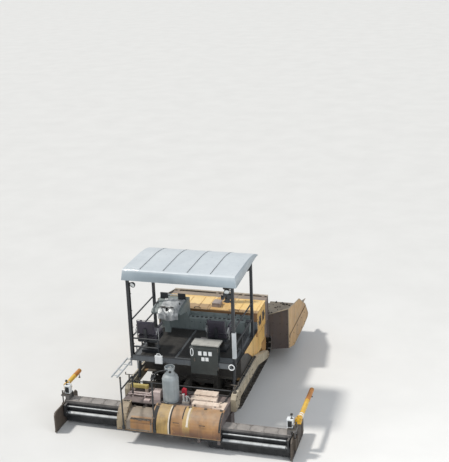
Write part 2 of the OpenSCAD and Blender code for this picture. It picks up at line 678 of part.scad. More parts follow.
// The roof: slanted rear panel, flat middle, front that curves down to a thin edge
roof_side = [[roof_rear, roof_top - 250], [roof_rear + 30, roof_top - 20], [roof_rear + 70, roof_top],
    [roof_rear + 1150, roof_top], [roof_rear + 1500, roof_top - 35], [roof_front - 180, roof_top - 85],
    [roof_front, roof_top - 150]];
module canopy_roof() color("#dfe5e8") {
    n = len(roof_side);
    difference() {
        slab_x([-roof_x, roof_x], concat(roof_side, [[roof_front, roof_top - 180],
            [roof_front - 190, roof_top - 160], [roof_rear + 160, roof_top - 250]]));
        slab_x([-roof_x + roof_t, roof_x - roof_t], [
            [roof_rear + roof_t + 2, roof_top - 260], [roof_rear + 50, roof_top - 30],
            [roof_rear + 80, roof_top - roof_t], [roof_rear + 1150, roof_top - roof_t],
            [roof_rear + 1500, roof_top - 35 - roof_t], [roof_front - 185, roof_top - 85 - roof_t],
            [roof_front - 30, roof_top - 140 - roof_t], [roof_front - 30, roof_top - 200],
            [roof_rear + 160, roof_top - 270]]);
    }
}

// Rails between the posts, and a short one at the rear that ends at rail_end_x
side_rails = [450, 850];
rear_rails = [250, 450];
rail_end_x = -560;
handrail_r = 17;
module handrails() color("#2b2f33") {
    for (s = [1, -1]) for (z = side_rails)
        bar_y(s * post_x, [post_rear_y + post_w / 2, post_front_y - post_w / 2], deck_z + z, handrail_r);
    for (z = rear_rails) bar_x([-post_x + post_w / 2, rail_end_x], post_rear_y, deck_z + z, handrail_r);
    bar_z(rail_end_x, post_rear_y, [deck_z, deck_z + rear_rails[1] + handrail_r], handrail_r);
}

// Ladder on the left, outside the tow arm
step_x = -arm_x - arm_t - 40;
step_y = [380, 720];
step_low = 620;
module steps() color("#7d7b76") {
    for (y = step_y) {
        bar_z(step_x, y, [step_low, deck_z - 10], 16);
        box([step_x, -body_x - gap], [y - 16, y + 16], [deck_z - deck_t, deck_z - 10]);
    }
    for (z = [step_low + 20, step_low + 300, step_low + 580])
        box([step_x - 20, step_x + 20], [step_y[0], step_y[1]], [z, z + 25]);
    for (x = stowed_x) bar_y(x, [-880, 60], stowed_z, 18);
    for (y = [-800, -520, -240, 30]) bar_x(stowed_x, y, stowed_z, 12);
    for (y = [-240, 30]) {
        box([-body_x - 25, -body_x - gap], [y - 20, y + 20], [stowed_z - 10, deck_z - 10]);
        box([stowed_x[1], -body_x - 24], [y - 12, y + 12], [stowed_z - 10, stowed_z + 10]);
    }
}
// Second ladder, stowed level beside the platform
stowed_x = [-1430, -1300];
stowed_z = 1300;

// Gear case and hangers of the augers
module auger_drive() color("#4b4842") {
    box([-45, 45], [-90, frame_rear - 30], [auger_z - 60, auger_z + 560]);
    bar_x([-90, 90], 0, auger_z, 120);
    bar_x([-90 - run - 60, 90 + run + 60], 0, auger_z, 22);
    box([-560, 560], [frame_rear - 40, body_rear - gap], [frame_top + gap, auger_z + 560]);
}
module auger(side) color("#6d675e") mirror([side > 0 ? 0 : 1, 0, 0]) {
    x0 = 90 + run;
    difference() {
        bar_x([x0, auger_end - spigot_l], 0, auger_z, auger_shaft_r);
        bar_x([x0 - 1, x0 + 70], 0, auger_z, 22 + fit);
    }
    bar_x([auger_end - spigot_l - 1, auger_end], 0, auger_z, auger_shaft_r - 5);
    translate([x0 + 20, 0, auger_z]) rotate([0, 90, 0]) flight(auger_end - x0 - 90);
}
spigot_l = 50; // free end that takes an auger extension
// A screw flight of length l along Z
flight_steps = 20;
module flight(l) {
    turns = l / auger_pitch;
    n = ceil(turns * flight_steps);
    r0 = auger_shaft_r + gap;
    t = 12;
    points = [for (i = [0 : n]) let (a = 360 * turns * i / n, z = l * i / n) each [
        [r0 * cos(a), r0 * sin(a), z], [auger_r * cos(a), auger_r * sin(a), z],
        [auger_r * cos(a), auger_r * sin(a), z + t], [r0 * cos(a), r0 * sin(a), z + t]]];
    faces = concat([[3, 2, 1], [3, 1, 0]],
        [for (i = [0 : n - 1], k = [0 : 3]) let (a = 4 * i + k, b = 4 * i + (k + 1) % 4)
            each [[a, b, b + 4], [a, b + 4, a + 4]]],
        [[4 * n, 4 * n + 1, 4 * n + 2], [4 * n, 4 * n + 2, 4 * n + 3]]);
    polyhedron(points, faces, convexity = 8);
}

// Tow arms, from the tow pins to the screed, with the pins of the lift rods
arm_top = 940;
arm_low = 740;
lift_x = arm_x - 62;
lift_foot = [-150, 600];
lift_head = [50, 1390];
module tow_arms() color("#a59d8c") both() {
    difference() {
        slab_x([arm_x, arm_x + arm_t], [
            [tow_y - 40, tow_z - 80], [tow_y + 40, tow_z - 80], [tow_y + 85, tow_z - 30],
            [tow_y + 85, tow_z + 40], [tow_y + 30, tow_z + 85], [tow_y - 900, arm_top],
            [screed_front - 180, arm_top], [screed_front - 260, arm_top - 80],
            [screed_front - 260, section_top + 80], [screed_front + 20, section_top + 80],
            [screed_front + 160, arm_low], [tow_y - 960, arm_low]]);
        bar_x([arm_x - 1, arm_x + arm_t + 1], tow_y, tow_z, tow_pin_r + fit);
    }
    slab_x([arm_x - 20, arm_x + 20], [
        [lift_foot[0] - 40, lift_foot[1] - 35], [lift_foot[0] + 40, lift_foot[1] - 35],
        [lift_foot[0] + 60, arm_low + 20], [lift_foot[0] - 60, arm_low + 20]]);
    bar_x([lift_x - 34, arm_x], lift_foot[0], lift_foot[1], wing_pin_r);
    bar_x([lift_x - 40, lift_x - 32], lift_foot[0], lift_foot[1], wing_pin_r + 14);
}

// Lift cylinder: the barrel hangs under the platform and the rod ends at the tow arm
lift_dir = (lift_foot - lift_head) / norm(lift_foot - lift_head);
lift_len = norm(lift_foot - lift_head);
lift_barrel_l = 470;
lift_rod_in = 110;
module lift_barrel(side) color("#2f2e2c") mirror([side > 0 ? 0 : 1, 0, 0]) difference() {
    union() {
        bar_x([lift_x - eye_t / 2, lift_x + eye_t / 2], lift_head[0], lift_head[1], 34);
        bar_yz(lift_x, lift_head + 22 * lift_dir, lift_head + (neck_l + 1) * lift_dir, 18);
        bar_yz(lift_x, lift_head + neck_l * lift_dir, lift_head + lift_barrel_l * lift_dir, 36);
    }
    bar_x([lift_x - 60, lift_x + 60], lift_head[0], lift_head[1], hinge_pin_r + fit);
    bar_yz(lift_x, lift_head + 85 * lift_dir, lift_head + (lift_barrel_l + 1) * lift_dir, 20 + fit);
}
module lift_rod(side) color("silver") mirror([side > 0 ? 0 : 1, 0, 0]) difference() {
    union() {
        bar_yz(lift_x, lift_head + (lift_barrel_l - lift_rod_in) * lift_dir,
            lift_foot - 38 * lift_dir, 20);
        bar_x([lift_x - 18, lift_x + 18], lift_foot[0], lift_foot[1], eye_r);
    }
    bar_x([lift_x - 60, lift_x + 60], lift_foot[0], lift_foot[1], wing_pin_r + eye_play);
}
module lift_ears() both() {
    for (x = [lift_x - 40, lift_x + 26])
        slab_x([x, x + 14], [
            [lift_head[0] - 60, deck_z - deck_t], [lift_head[0] - 30, lift_head[1] - 35],
            [lift_head[0] + 30, lift_head[1] - 35], [lift_head[0] + 60, deck_z - deck_t]]);
    bar_x([lift_x - 40, lift_x + 40], lift_head[0], lift_head[1], hinge_pin_r);
}

// Screed: a fixed section in front, the left and right sliding sections in two rows behind it
wall_t = 12;
plate_rows = 30;
row_rear = slide_row_r - section_d;
thick_off = 15 + tube_r;
thin_off = 15 + rod_r;
thick_z = 280;
thin_z = 430;
rib_z = section_top + 65;
deck_edge_y = -1000;
guide_x = [640, 1080];
guide_w = 60;
// A screed section's walls over its smoothing plate, from front to rear
module section(x, front, top) slab_x(x, [
    [front, mat_z], [front, top], [front - wall_t, top], [front - wall_t, mat_z + plate_rows],
    [front - section_d + wall_t, mat_z + plate_rows], [front - section_d + wall_t, top],
    [front - section_d, top], [front - section_d, mat_z]]);
module section_ends(x, front, top) for (e = [x[0], x[1] - wall_t])
    box([e, e + wall_t], [front - section_d, front], [mat_z, top]);

cover_a = cover_rear - deck_edge_y;
cover_low = 460;
cover_hem = 340;
cover_top = screed_deck_z + 12;
left_top = 720;
// Ribs under the covers: x, top of the cover there
ribs = [[300, cover_top], [screed_x - wall_t - 2, cover_top], [-screed_x + 2, cover_top], [-620, left_top]];
function cover_arc(inset, top, n = 9) = [for (i = [0 : n]) let (a = 90 + 90 * i / n)
    [deck_edge_y - (cover_a + inset) * cos(a), cover_low + (top - cover_low - inset) * sin(a)]];

module screed_frame() color("#4a4640") {
    span = [-screed_x, screed_x];
    section(span, screed_front, section_top);
    section_ends(span, screed_front, section_top);
    box(span, [screed_front - wall_t + 1, screed_front - 1], [section_top - 20, screed_deck_z - 10]);
    box(span, [deck_edge_y, screed_front], [screed_deck_z - 20, screed_deck_z]);
    for (r = ribs)
        slab_x([r[0], r[0] + wall_t], concat(
            [[screed_front - wall_t + 3, rib_z], [screed_front - wall_t + 3, screed_deck_z - 10],
                [deck_edge_y + 3, screed_deck_z - 10]],
            r[1] > screed_deck_z ? [] : [[deck_edge_y + 2, r[1] - wall_t - 10]],
            [for (p = cover_arc(wall_t + 10, r[1])) if (p[1] > rib_z) [p[0], min(p[1], screed_deck_z - 20)]],
            [[row_rear - 90, rib_z]]));
    guide(1, row_rear, rib_z + 35);
    guide(-1, slide_row_l - section_d, screed_deck_z - 10);
    box([ribs[0][0] + 2, screed_x - 6], [row_rear - 68, row_rear - 12], [rib_z + 4, rib_z + 28]);
    both() box([screed_x - 8, arm_x - gap], [screed_front - 220, screed_front - 20],
        [section_top + 100, screed_deck_z - 60]);
}
// Two blocks with the bores that the guide tubes of one side slide in
module guide(side, rear, top) mirror([side > 0 ? 0 : 1, 0, 0]) difference() {
    for (x = guide_x) slab_x([x, x + guide_w], [
        [rear - 6, thick_z - tube_r - 25], [rear - 6, top], [rear - 75, top],
        [rear - thick_off - tube_r - 15, thin_z + 50], [rear - thick_off - tube_r - 15, thick_z - tube_r - 25]]);
    bar_x([guide_x[0] - 1, guide_x[1] + guide_w + 1], rear - thick_off, thick_z, tube_r + fit);
    bar_x([guide_x[0] - 1, guide_x[1] + guide_w + 1], rear - thin_off, thin_z, rod_r + fit);
}

split_x = -370;
left_split_x = -950;
module cover(x, top, front) slab_x(x, concat([[front, top - 12 + gap], [front, top]], cover_arc(0, top),
    [[deck_edge_y + cover_a, cover_hem], [deck_edge_y + cover_a + 10, cover_hem]],
    [for (i = [9 : -1 : 0]) cover_arc(10, top)[i]], [[deck_edge_y, top - 12 + gap]]));
module screed_covers() color("#d79a35") {
    cover([split_x, screed_x], cover_top, deck_edge_y + 40);
    cover([left_split_x, split_x], left_top, deck_edge_y + 1);
    cover([-screed_x, left_split_x], cover_top, deck_edge_y + 40);
    for (x = [left_split_x - 10, split_x]) slab_x([x, x + 10], concat(cover_arc(5, cover_top),
        [for (i = [8 : -1 : 0]) cover_arc(5, left_top)[i]]));
    slab_x([-850, -400], [
        [cover_rear + 5, left_top - 170], [cover_rear + 5, left_top - 110],
        [cover_rear + 85, left_top - 110], [cover_rear + 40, left_top - 170]]);
}

hand_z = screed_deck_z + 780;
hand_x = [-1000, -290];
module screed_rails() color("#2b2a28") {
    // Upright hand posts on the cover, and one on the deck
    for (x = hand_x) {
        bar_z(x, post_y, [foot_z[0], hand_z], rail_r);
        box([x - 30, x + 30], [post_y - rail_r, cover_rear - gap], foot_z);
    }
    bar_z(hand_x[0], bottle_at[1], [screed_deck_z, hand_z - hand_drop], rail_r);
    bar_y(hand_x[1], [post_y, post_y + grip_l], hand_z, rail_r);
    bar_y(hand_x[0], [post_y, bottle_at[1]], hand_z - hand_drop, rail_r);
}
foot_z = [360, 440];
hand_drop = 300;
grip_l = 222;
bottle_at = [-110, -760];
bottle_r = 180;
module gas_bottle() color("#8d9496") {
    translate([bottle_at[0], bottle_at[1], screed_deck_z + gap]) rotate_extrude()
        polygon([[0, 0], [bottle_r - 15, 0], [bottle_r - 15, 30], [bottle_r, 45], [bottle_r, 540],
            [bottle_r - 25, 600], [bottle_r - 70, 645], [bottle_r - 70, 800], [bottle_r - 78, 800],
            [bottle_r - 78, 655], [30, 670], [30, 740], [0, 740]]);
}
// Boxes and a bar on the deck: x, y and z of opposite corners
deck_items = [
    [[360, 860], [-600, -400], [0, 110]],
    [[340, 900], [-780, -630], [0, 90]],
    [[420, 1010], [-950, -810], [0, 70]],
    [[70, 150], [-560, -480], [0, 160]],
    [[-1130, -740], [-520, -460], [80, 150]],
    [[-1130, -1060], [-520, -460], [0, 80]],
    [[-810, -740], [-520, -460], [0, 80]]];
module deck_boxes() color("#cfc7b8") translate([0, 0, screed_deck_z + gap])
    for (d = deck_items) box(d[0], d[1], d[2]);

// Sliding section with its walkway, tubes and the rods that guide the end gate
slide_x1 = reach - 160;
slide_x0 = slide_x1 - slide_w;
gate_x = slide_x1 + 12;
gate_rod_x = gate_x + gate_t + 30;
gate_rod_r = 15;
module extension(side) color("#5b574f") mirror([side > 0 ? 0 : 1, 0, 0]) {
    front = side > 0 ? slide_row_r : slide_row_l;
    rear = front - section_d;
    section([slide_x0, slide_x1], front, section_top);
    section_ends([slide_x0, slide_x1], front, section_top);
    box([slide_x0, slide_x1], [rear, front], [section_top, section_top + 50]);
    box([slide_x1 - 60, slide_x1 - 20], [rear - thick_off - tube_r - 15, rear], [thick_z - tube_r - 15, section_top]);
    bar_x([guide_x[0] - 240, slide_x1 - 40], rear - thick_off, thick_z, tube_r);
    bar_x([guide_x[0] - 240, slide_x1 - 40], rear - thin_off, thin_z, rod_r);
    box([slide_x1 - 90, gate_rod_x + 30], [rear + 20, front - 20], [section_top + 140, section_top + 170]);
    box([slide_x1 - 90, slide_x1 - 20], [rear + 20, front - 20], [section_top + 50, section_top + 140]);
    for (y = [rear + 50, front - 50]) bar_z(gate_rod_x, y, [120, section_top + 150], gate_rod_r);
}

gate_rear = row_rear - 2 * tube_r - 30;
gate_front = -150;
gate_arm_r = 50;
gate_arm_z = 760;
gate_arm_y = [[-520, 250], [-900, 480]];
module end_gate(side) color("#d9a63a") mirror([side > 0 ? 0 : 1, 0, 0]) {
    front = side > 0 ? slide_row_r : slide_row_l;
    rear = front - section_d;
    slab_x([gate_x, gate_x + gate_t], [
        [gate_rear, 30], [gate_front - 80, 30], [gate_front, 90], [gate_front, 430],
        [gate_front - 60, 500], [gate_rear + 60, 500], [gate_rear, 440]]);
    difference() {
        for (y = [rear + 50, front - 50]) box([gate_x + gate_t, gate_rod_x + 30], [y - 30, y + 30], [200, 460]);
        for (y = [rear + 50, front - 50]) bar_z(gate_rod_x, y, [199, 461], gate_rod_r + fit);
    }
    box([gate_x, gate_x + gate_t], [front + 60, front + 160], [500, gate_arm_z]);
    bar_y(reach - gate_arm_r, gate_arm_y[side > 0 ? 1 : 0], gate_arm_z, gate_arm_r);
    box([gate_x + gate_t, reach - gate_arm_r], [front + 60, front + 160], [gate_arm_z - 40, gate_arm_z + 10]);
}

place() main_frame();
place() track(-1);  // track_left
place() track(1);  // track_right
place() track_frames();
place() track_wheels();
place() hopper_floor();
place() hopper_wall();
place() conveyor();
place() push_beam();
place() push_roller(-1);  // push_roller_left
place() push_roller(1);  // push_roller_right
place() wing(-1);  // wing_left
place() wing(1);  // wing_right
place() wing_barrel(-1);  // wing_barrel_left
place() wing_barrel(1);  // wing_barrel_right
place() wing_rod(-1);  // wing_rod_left
place() wing_rod(1);  // wing_rod_right
place() lower_body();
place() side_covers();
place() engine();
place() hood_body();
place() hood_lid(-1);  // hood_lid_left
place() hood_lid(1);  // hood_lid_right
place() exhaust();
place() platform();
place() console();
place() rear_box();
place() seat_bases();
place() seat_pads();
place() canopy_posts();
place() canopy_roof();
place() handrails();
place() steps();
place() auger_drive();
place() auger(-1);  // auger_left
place() auger(1);  // auger_right
place() tow_arms();
place() lift_barrel(-1);  // lift_barrel_left
place() lift_barrel(1);  // lift_barrel_right
place() lift_rod(-1);  // lift_rod_left
place() lift_rod(1);  // lift_rod_right
place() screed_frame();
place() screed_covers();
place() screed_rails();
place() gas_bottle();
place() deck_boxes();
place() extension(-1);  // extension_left
place() extension(1);  // extension_right
place() end_gate(-1);  // end_gate_left
place() end_gate(1);  // end_gate_right
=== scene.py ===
import math

import bmesh
import bpy
from mathutils import Matrix, Vector, noise


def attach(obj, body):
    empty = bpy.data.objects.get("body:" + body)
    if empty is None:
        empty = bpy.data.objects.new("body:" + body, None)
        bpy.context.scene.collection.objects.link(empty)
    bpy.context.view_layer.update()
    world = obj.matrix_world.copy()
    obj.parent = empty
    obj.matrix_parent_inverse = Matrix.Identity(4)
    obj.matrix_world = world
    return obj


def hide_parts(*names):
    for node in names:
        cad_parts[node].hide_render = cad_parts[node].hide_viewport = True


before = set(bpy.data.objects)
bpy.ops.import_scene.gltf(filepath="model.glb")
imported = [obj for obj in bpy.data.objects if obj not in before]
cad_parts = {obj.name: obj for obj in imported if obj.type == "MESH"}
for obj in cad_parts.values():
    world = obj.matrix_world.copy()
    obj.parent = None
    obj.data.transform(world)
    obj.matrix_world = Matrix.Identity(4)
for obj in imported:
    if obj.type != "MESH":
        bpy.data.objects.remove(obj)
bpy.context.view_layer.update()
print("stage: frame loaded", len(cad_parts), "nodes")

# Machine coordinates are those of the part: millimetres from the auger shaft. The frame is in metres,
# with its origin this far in front of the shaft.
midY = 2072.85
mm = 0.001
bothSides = ((-1, "left"), (1, "right"))


def place(x, y, z):
    return Vector((x * mm, (y - midY) * mm, z * mm))


# Camera: fitted to the straight lines of the photograph.
cameraValues = {
    "x": 6400, "y": -18000, "z": 10711,
    "yaw": 16.68, "pitch": 18.25, "roll": -2.1, "lens": 73.56,
}
yaw = math.radians(cameraValues["yaw"])
pitch = math.radians(cameraValues["pitch"])
roll = math.radians(cameraValues["roll"])
forward = Vector((-math.sin(yaw) * math.cos(pitch), math.cos(yaw) * math.cos(pitch), -math.sin(pitch)))
levelRight = Vector((math.cos(yaw), math.sin(yaw), 0))
levelUp = levelRight.cross(forward)
cameraRight = levelRight * math.cos(roll) + levelUp * math.sin(roll)
cameraUp = levelUp * math.cos(roll) - levelRight * math.sin(roll)
cameraData = bpy.data.cameras.new("camera")
cameraData.lens = cameraValues["lens"]
cameraData.sensor_width = 36
cameraData.clip_end = 200
camera = bpy.data.objects.new("camera", cameraData)
turn = Matrix((cameraRight, cameraUp, -forward)).transposed().to_4x4()
eye = place(cameraValues["x"], cameraValues["y"], cameraValues["z"])
camera.matrix_world = Matrix.Translation(eye) @ turn
bpy.context.scene.collection.objects.link(camera)
bpy.context.scene.camera = camera
bpy.context.scene.view_settings.view_transform = "Standard"


# Colours and materials
def linear(hexColour):
    channels = [int(hexColour[i:i + 2], 16) / 255 for i in (1, 3, 5)]
    return [c / 12.92 if c <= 0.04045 else ((c + 0.055) / 1.055) ** 2.4 for c in channels] + [1.0]


class Tree:
    def __init__(self, name):
        self.material = bpy.data.materials.new(name)
        self.material.use_nodes = True
        self.shader = self.material.node_tree.nodes["Principled BSDF"]
        coords, at, facing = [self.material.node_tree.nodes.new("ShaderNode" + kind)
            for kind in ("TexCoord", "SeparateXYZ", "SeparateXYZ")]
        self.place = coords.outputs["Object"]
        self.fill(at.inputs[0], self.place)
        self.fill(facing.inputs[0], coords.outputs["Normal"])
        self.at = at.outputs            # metres from the middle, along each axis
        self.facing = facing.outputs    # how far the surface looks along each axis

    # Links the input where the value is a socket, and otherwise sets it
    def fill(self, target, value):
        if isinstance(value, bpy.types.NodeSocket):
            self.material.node_tree.links.new(value, target)
        elif value is not None:
            target.default_value = value

    # Adds one node: its settings, then its inputs in their order or by name, and gives one output
    def add(self, kind, *values, inputs={}, output=None, **settings):
        node = self.material.node_tree.nodes.new("ShaderNode" + kind)
        for setting, value in settings.items():
            setattr(node, setting, value)
        shown = [socket for socket in node.inputs if socket.enabled]
        for target, value in zip(shown, values):
            self.fill(target, value)
        for key, value in inputs.items():
            self.fill(node.inputs[key], value)
        return node.outputs[output] if output else next(s for s in node.outputs if s.enabled)

    # Where all of these masks hold
    def whereAll(self, first, *others):
        for other in others:
            first = self.add("Math", first, other, operation="MULTIPLY")
        return first

    # One between two machine positions in millimetres along an axis, with a ragged border
    def between(self, axis, low, high, ragged=0.0):
        shift = midY * mm if axis == "Y" else 0.0
        soft = 0.004
        value = self.at[axis]
        if ragged > 0:
            rough = self.add("TexNoise", self.place, 7, 5, 0.55)
            value = self.add("Math", value, self.add("MapRange", rough, 0.3, 0.7, -ragged * mm, ragged * mm),
                operation="ADD")
        above = self.add("MapRange", value, low * mm - shift - soft, low * mm - shift + soft)
        below = self.add("MapRange", value, high * mm - shift + soft, high * mm - shift - soft)
        return self.whereAll(above, below)


# Enamel, steel or plastic in two shades, with zones of other shades, rain streaks, dust on top and rubbed
# edges. Patches are about 1 m divided by the scale, and the grain about 5 mm, coarser than real so it shows.
def finishOf(name, colour, second, rough=0.5, metal=0.0, dust=("#8b8378", 0.3), grime=("#2b2825", 0.3),
        wear=("#8d8982", 0.0), scale=2.5, grain=(220, 0.0004), pattern=None, coat=0.0, bevel=0.003,
        sheen=0.0, zones=()):
    tree = Tree(name)
    add = tree.add
    patches = add("MapRange", add("TexNoise", tree.place, scale, 4, 0.55), 0.36, 0.64)
    base = add("Mix", patches, linear(colour), linear(second), data_type="RGBA")
    for where, zoneColour, zoneSecond in zones:
        mask = tree.between(*where) if isinstance(where, tuple) else where(tree)
        shade = add("Mix", patches, linear(zoneColour), linear(zoneSecond), data_type="RGBA")
        base = add("Mix", mask, base, shade, data_type="RGBA")
    upright = add("Mapping", tree.place, inputs={"Scale": (9, 9, 0.9)})
    streaks = add("MapRange", add("TexNoise", upright, 1.0, 6, 0.6), 0.48, 0.74)
    base = add("Mix", tree.whereAll(streaks, grime[1]), base, linear(grime[0]), data_type="RGBA")
    cloud = add("MapRange", add("TexNoise", tree.place, scale * 1.7, 5, 0.62), 0.3, 0.7, 0.35, 1.0)
    up = add("MapRange", tree.facing["Z"], 0.1, 0.85, 0.25, 1.0)
    dusty = tree.whereAll(cloud, up, dust[1])
    base = add("Mix", dusty, base, linear(dust[0]), data_type="RGBA")
    fine = add("TexNoise", tree.place, scale * 6, 3, 0.55)
    roughness = add("MapRange", fine, 0.3, 0.7, max(0.05, rough - 0.08), min(1.0, rough + 0.1))
    roughness = add("Math", roughness, tree.whereAll(dusty, 0.25), operation="ADD")
    normal = None
    if bevel > 0:
        normal = add("Bevel", bevel, samples=4)
        if wear[1] > 0:
            flat = add("VectorMath", normal, add("NewGeometry", output="Normal"), output="Value",
                operation="DOT_PRODUCT")
            broken = add("MapRange", add("TexNoise", tree.place, 34, 5, 0.55), 0.42, 0.62)
            worn = tree.whereAll(add("MapRange", flat, 0.995, 0.86), broken, wear[1])
            base = add("Mix", worn, base, linear(wear[0]), data_type="RGBA")
    if pattern:
        normal = add("Bump", inputs={"Distance": 0.0025, "Strength": 0.8, "Height": pattern(tree),
                "Normal": normal})
    bumps = add("TexNoise", tree.place, grain[0], 3, 0.55)
    normal = add("Bump", inputs={"Distance": grain[1], "Strength": 0.7, "Height": bumps, "Normal": normal})
    for key, value in (("Base Color", base), ("Roughness", roughness), ("Metallic", metal),
            ("Normal", normal), ("Coat Weight", coat), ("Sheen Weight", sheen)):
        tree.fill(tree.shader.inputs[key], value)
    return tree.material


# Raised bars in squares of 31 mm, each turned against the next
def treadPlate(tree):
    turned = tree.add("Mapping", tree.place, inputs={"Rotation": (0, 0, math.radians(45)),
            "Scale": (32, 32, 32)})
    bars = []
    for axis in "XY":
        part = tree.add("SeparateXYZ", turned, output=axis)
        wave = tree.add("Math", part, 2 * math.pi, operation="MULTIPLY")
        wave = tree.add("Math", tree.add("Math", wave, operation="SINE"), operation="ABSOLUTE")
        bars.append(tree.add("MapRange", wave, 0.75, 1.0))
    return tree.add("Mix", tree.add("TexChecker", turned, inputs={"Scale": 1.0}, output="Fac"), *bars)


# Folds about 70 mm apart
def crumples(tree):
    return tree.add("TexVoronoi", tree.place, inputs={"Scale": 14}, feature="F1")


# Stones of about 17 mm, stuck together
def clotted(tree):
    stones = tree.add("TexVoronoi", tree.place, inputs={"Scale": 60})
    return tree.whereAll(stones, tree.add("TexNoise", tree.place, 6, 5, 0.55))


# Zones of a finish: an axis with two positions in millimetres, or a mask made by a function
hopperEnd = ("Y", 2590, 3200, 10)
topTube = ("Z", 1893, 2200)
walkTop = ("Z", 496, 700)
leftEnd = ("X", -1200, -948)
gateArm = ("Z", 505, 900)


# Painted shade: the faces that do not look up
def shadedRoofSides(tree):
    return tree.add("MapRange", tree.facing["Z"], 0.62, 0.3)


# Painted shade: the hood's rear face, in red brown
def hoodRearShade(tree):
    return tree.whereAll(tree.between("Y", 1760, 1815), tree.add("MapRange", tree.facing["Y"], -0.6, -0.8))


# Brown band along the lids' rear edge, deeper on the left: painted shade, partly rust
def lidRearShade(tree):
    deep = tree.whereAll(tree.between("Y", 1700, 2110, 30), tree.add("MapRange", tree.at["X"], 0.3, 0.1))
    return tree.whereAll(tree.add("Math", tree.between("Y", 1700, 1940, 18), deep, operation="MAXIMUM"), 0.8)


# Painted shade: the faces that look back
def wingRearShade(tree):
    return tree.add("MapRange", tree.facing["Y"], -0.4, -0.6)


def wingInside(tree):
    side = tree.add("MapRange", tree.whereAll(tree.facing["X"], tree.at["X"]), -0.2, -0.4)
    for axis, low, high in (("Z", 0.15, 0.35), ("Y", 0.6, 0.8)):
        side = tree.add("Math", side, tree.add("MapRange", tree.facing[axis], low, high), operation="ADD")
    return tree.add("Math", side, 1.0, operation="MINIMUM")


# Painted highlight on the upper side of the guide tubes, kept off where they run under the covers in their
# shade and at the outer flanges
def tubeTopHighlight(tree):
    right = tree.whereAll(tree.between("Y", -1340, -1213), tree.add("MapRange", tree.at["X"], -0.01, 0.01))
    left = tree.whereAll(tree.between("Y", -950, -823), tree.add("MapRange", tree.at["X"], 0.01, -0.01))
    across = tree.add("Math", tree.at["X"], operation="ABSOLUTE")
    shown = [tree.add("MapRange", across, low, high) for low, high in ((2.579, 2.577), (1.17, 1.2))]
    lit = tree.whereAll(*shown, tree.add("MapRange", tree.facing["Z"], 0.15, 0.6))
    return tree.whereAll(tree.add("Math", right, left, operation="ADD"), lit)


def dustyMiddle(tree):
    panel = tree.whereAll(tree.between("X", -852, -398), tree.between("Z", 385, 640))
    return tree.whereAll(tree.between("X", -952, -366), tree.add("Math", 1.0, panel, operation="SUBTRACT"))


def lowRight(tree):
    low = tree.add("MapRange", tree.at["Z"], 0.56, 0.4, 0, 0.9)
    return tree.whereAll(tree.between("X", 120, 1200, 60), low)


def sunFaded(tree):
    strips = [tree.between("X", low, high, 12) for low, high in ((-262, 0), (325, 480))]
    return tree.whereAll(tree.add("Math", *strips, operation="ADD"), 0.7)


def outsideTrack(tree):
    across = tree.add("Math", tree.at["X"], operation="ABSOLUTE")
    return tree.whereAll(tree.add("MapRange", across, 1.07, 1.075), tree.between("Z", 470, 1000))


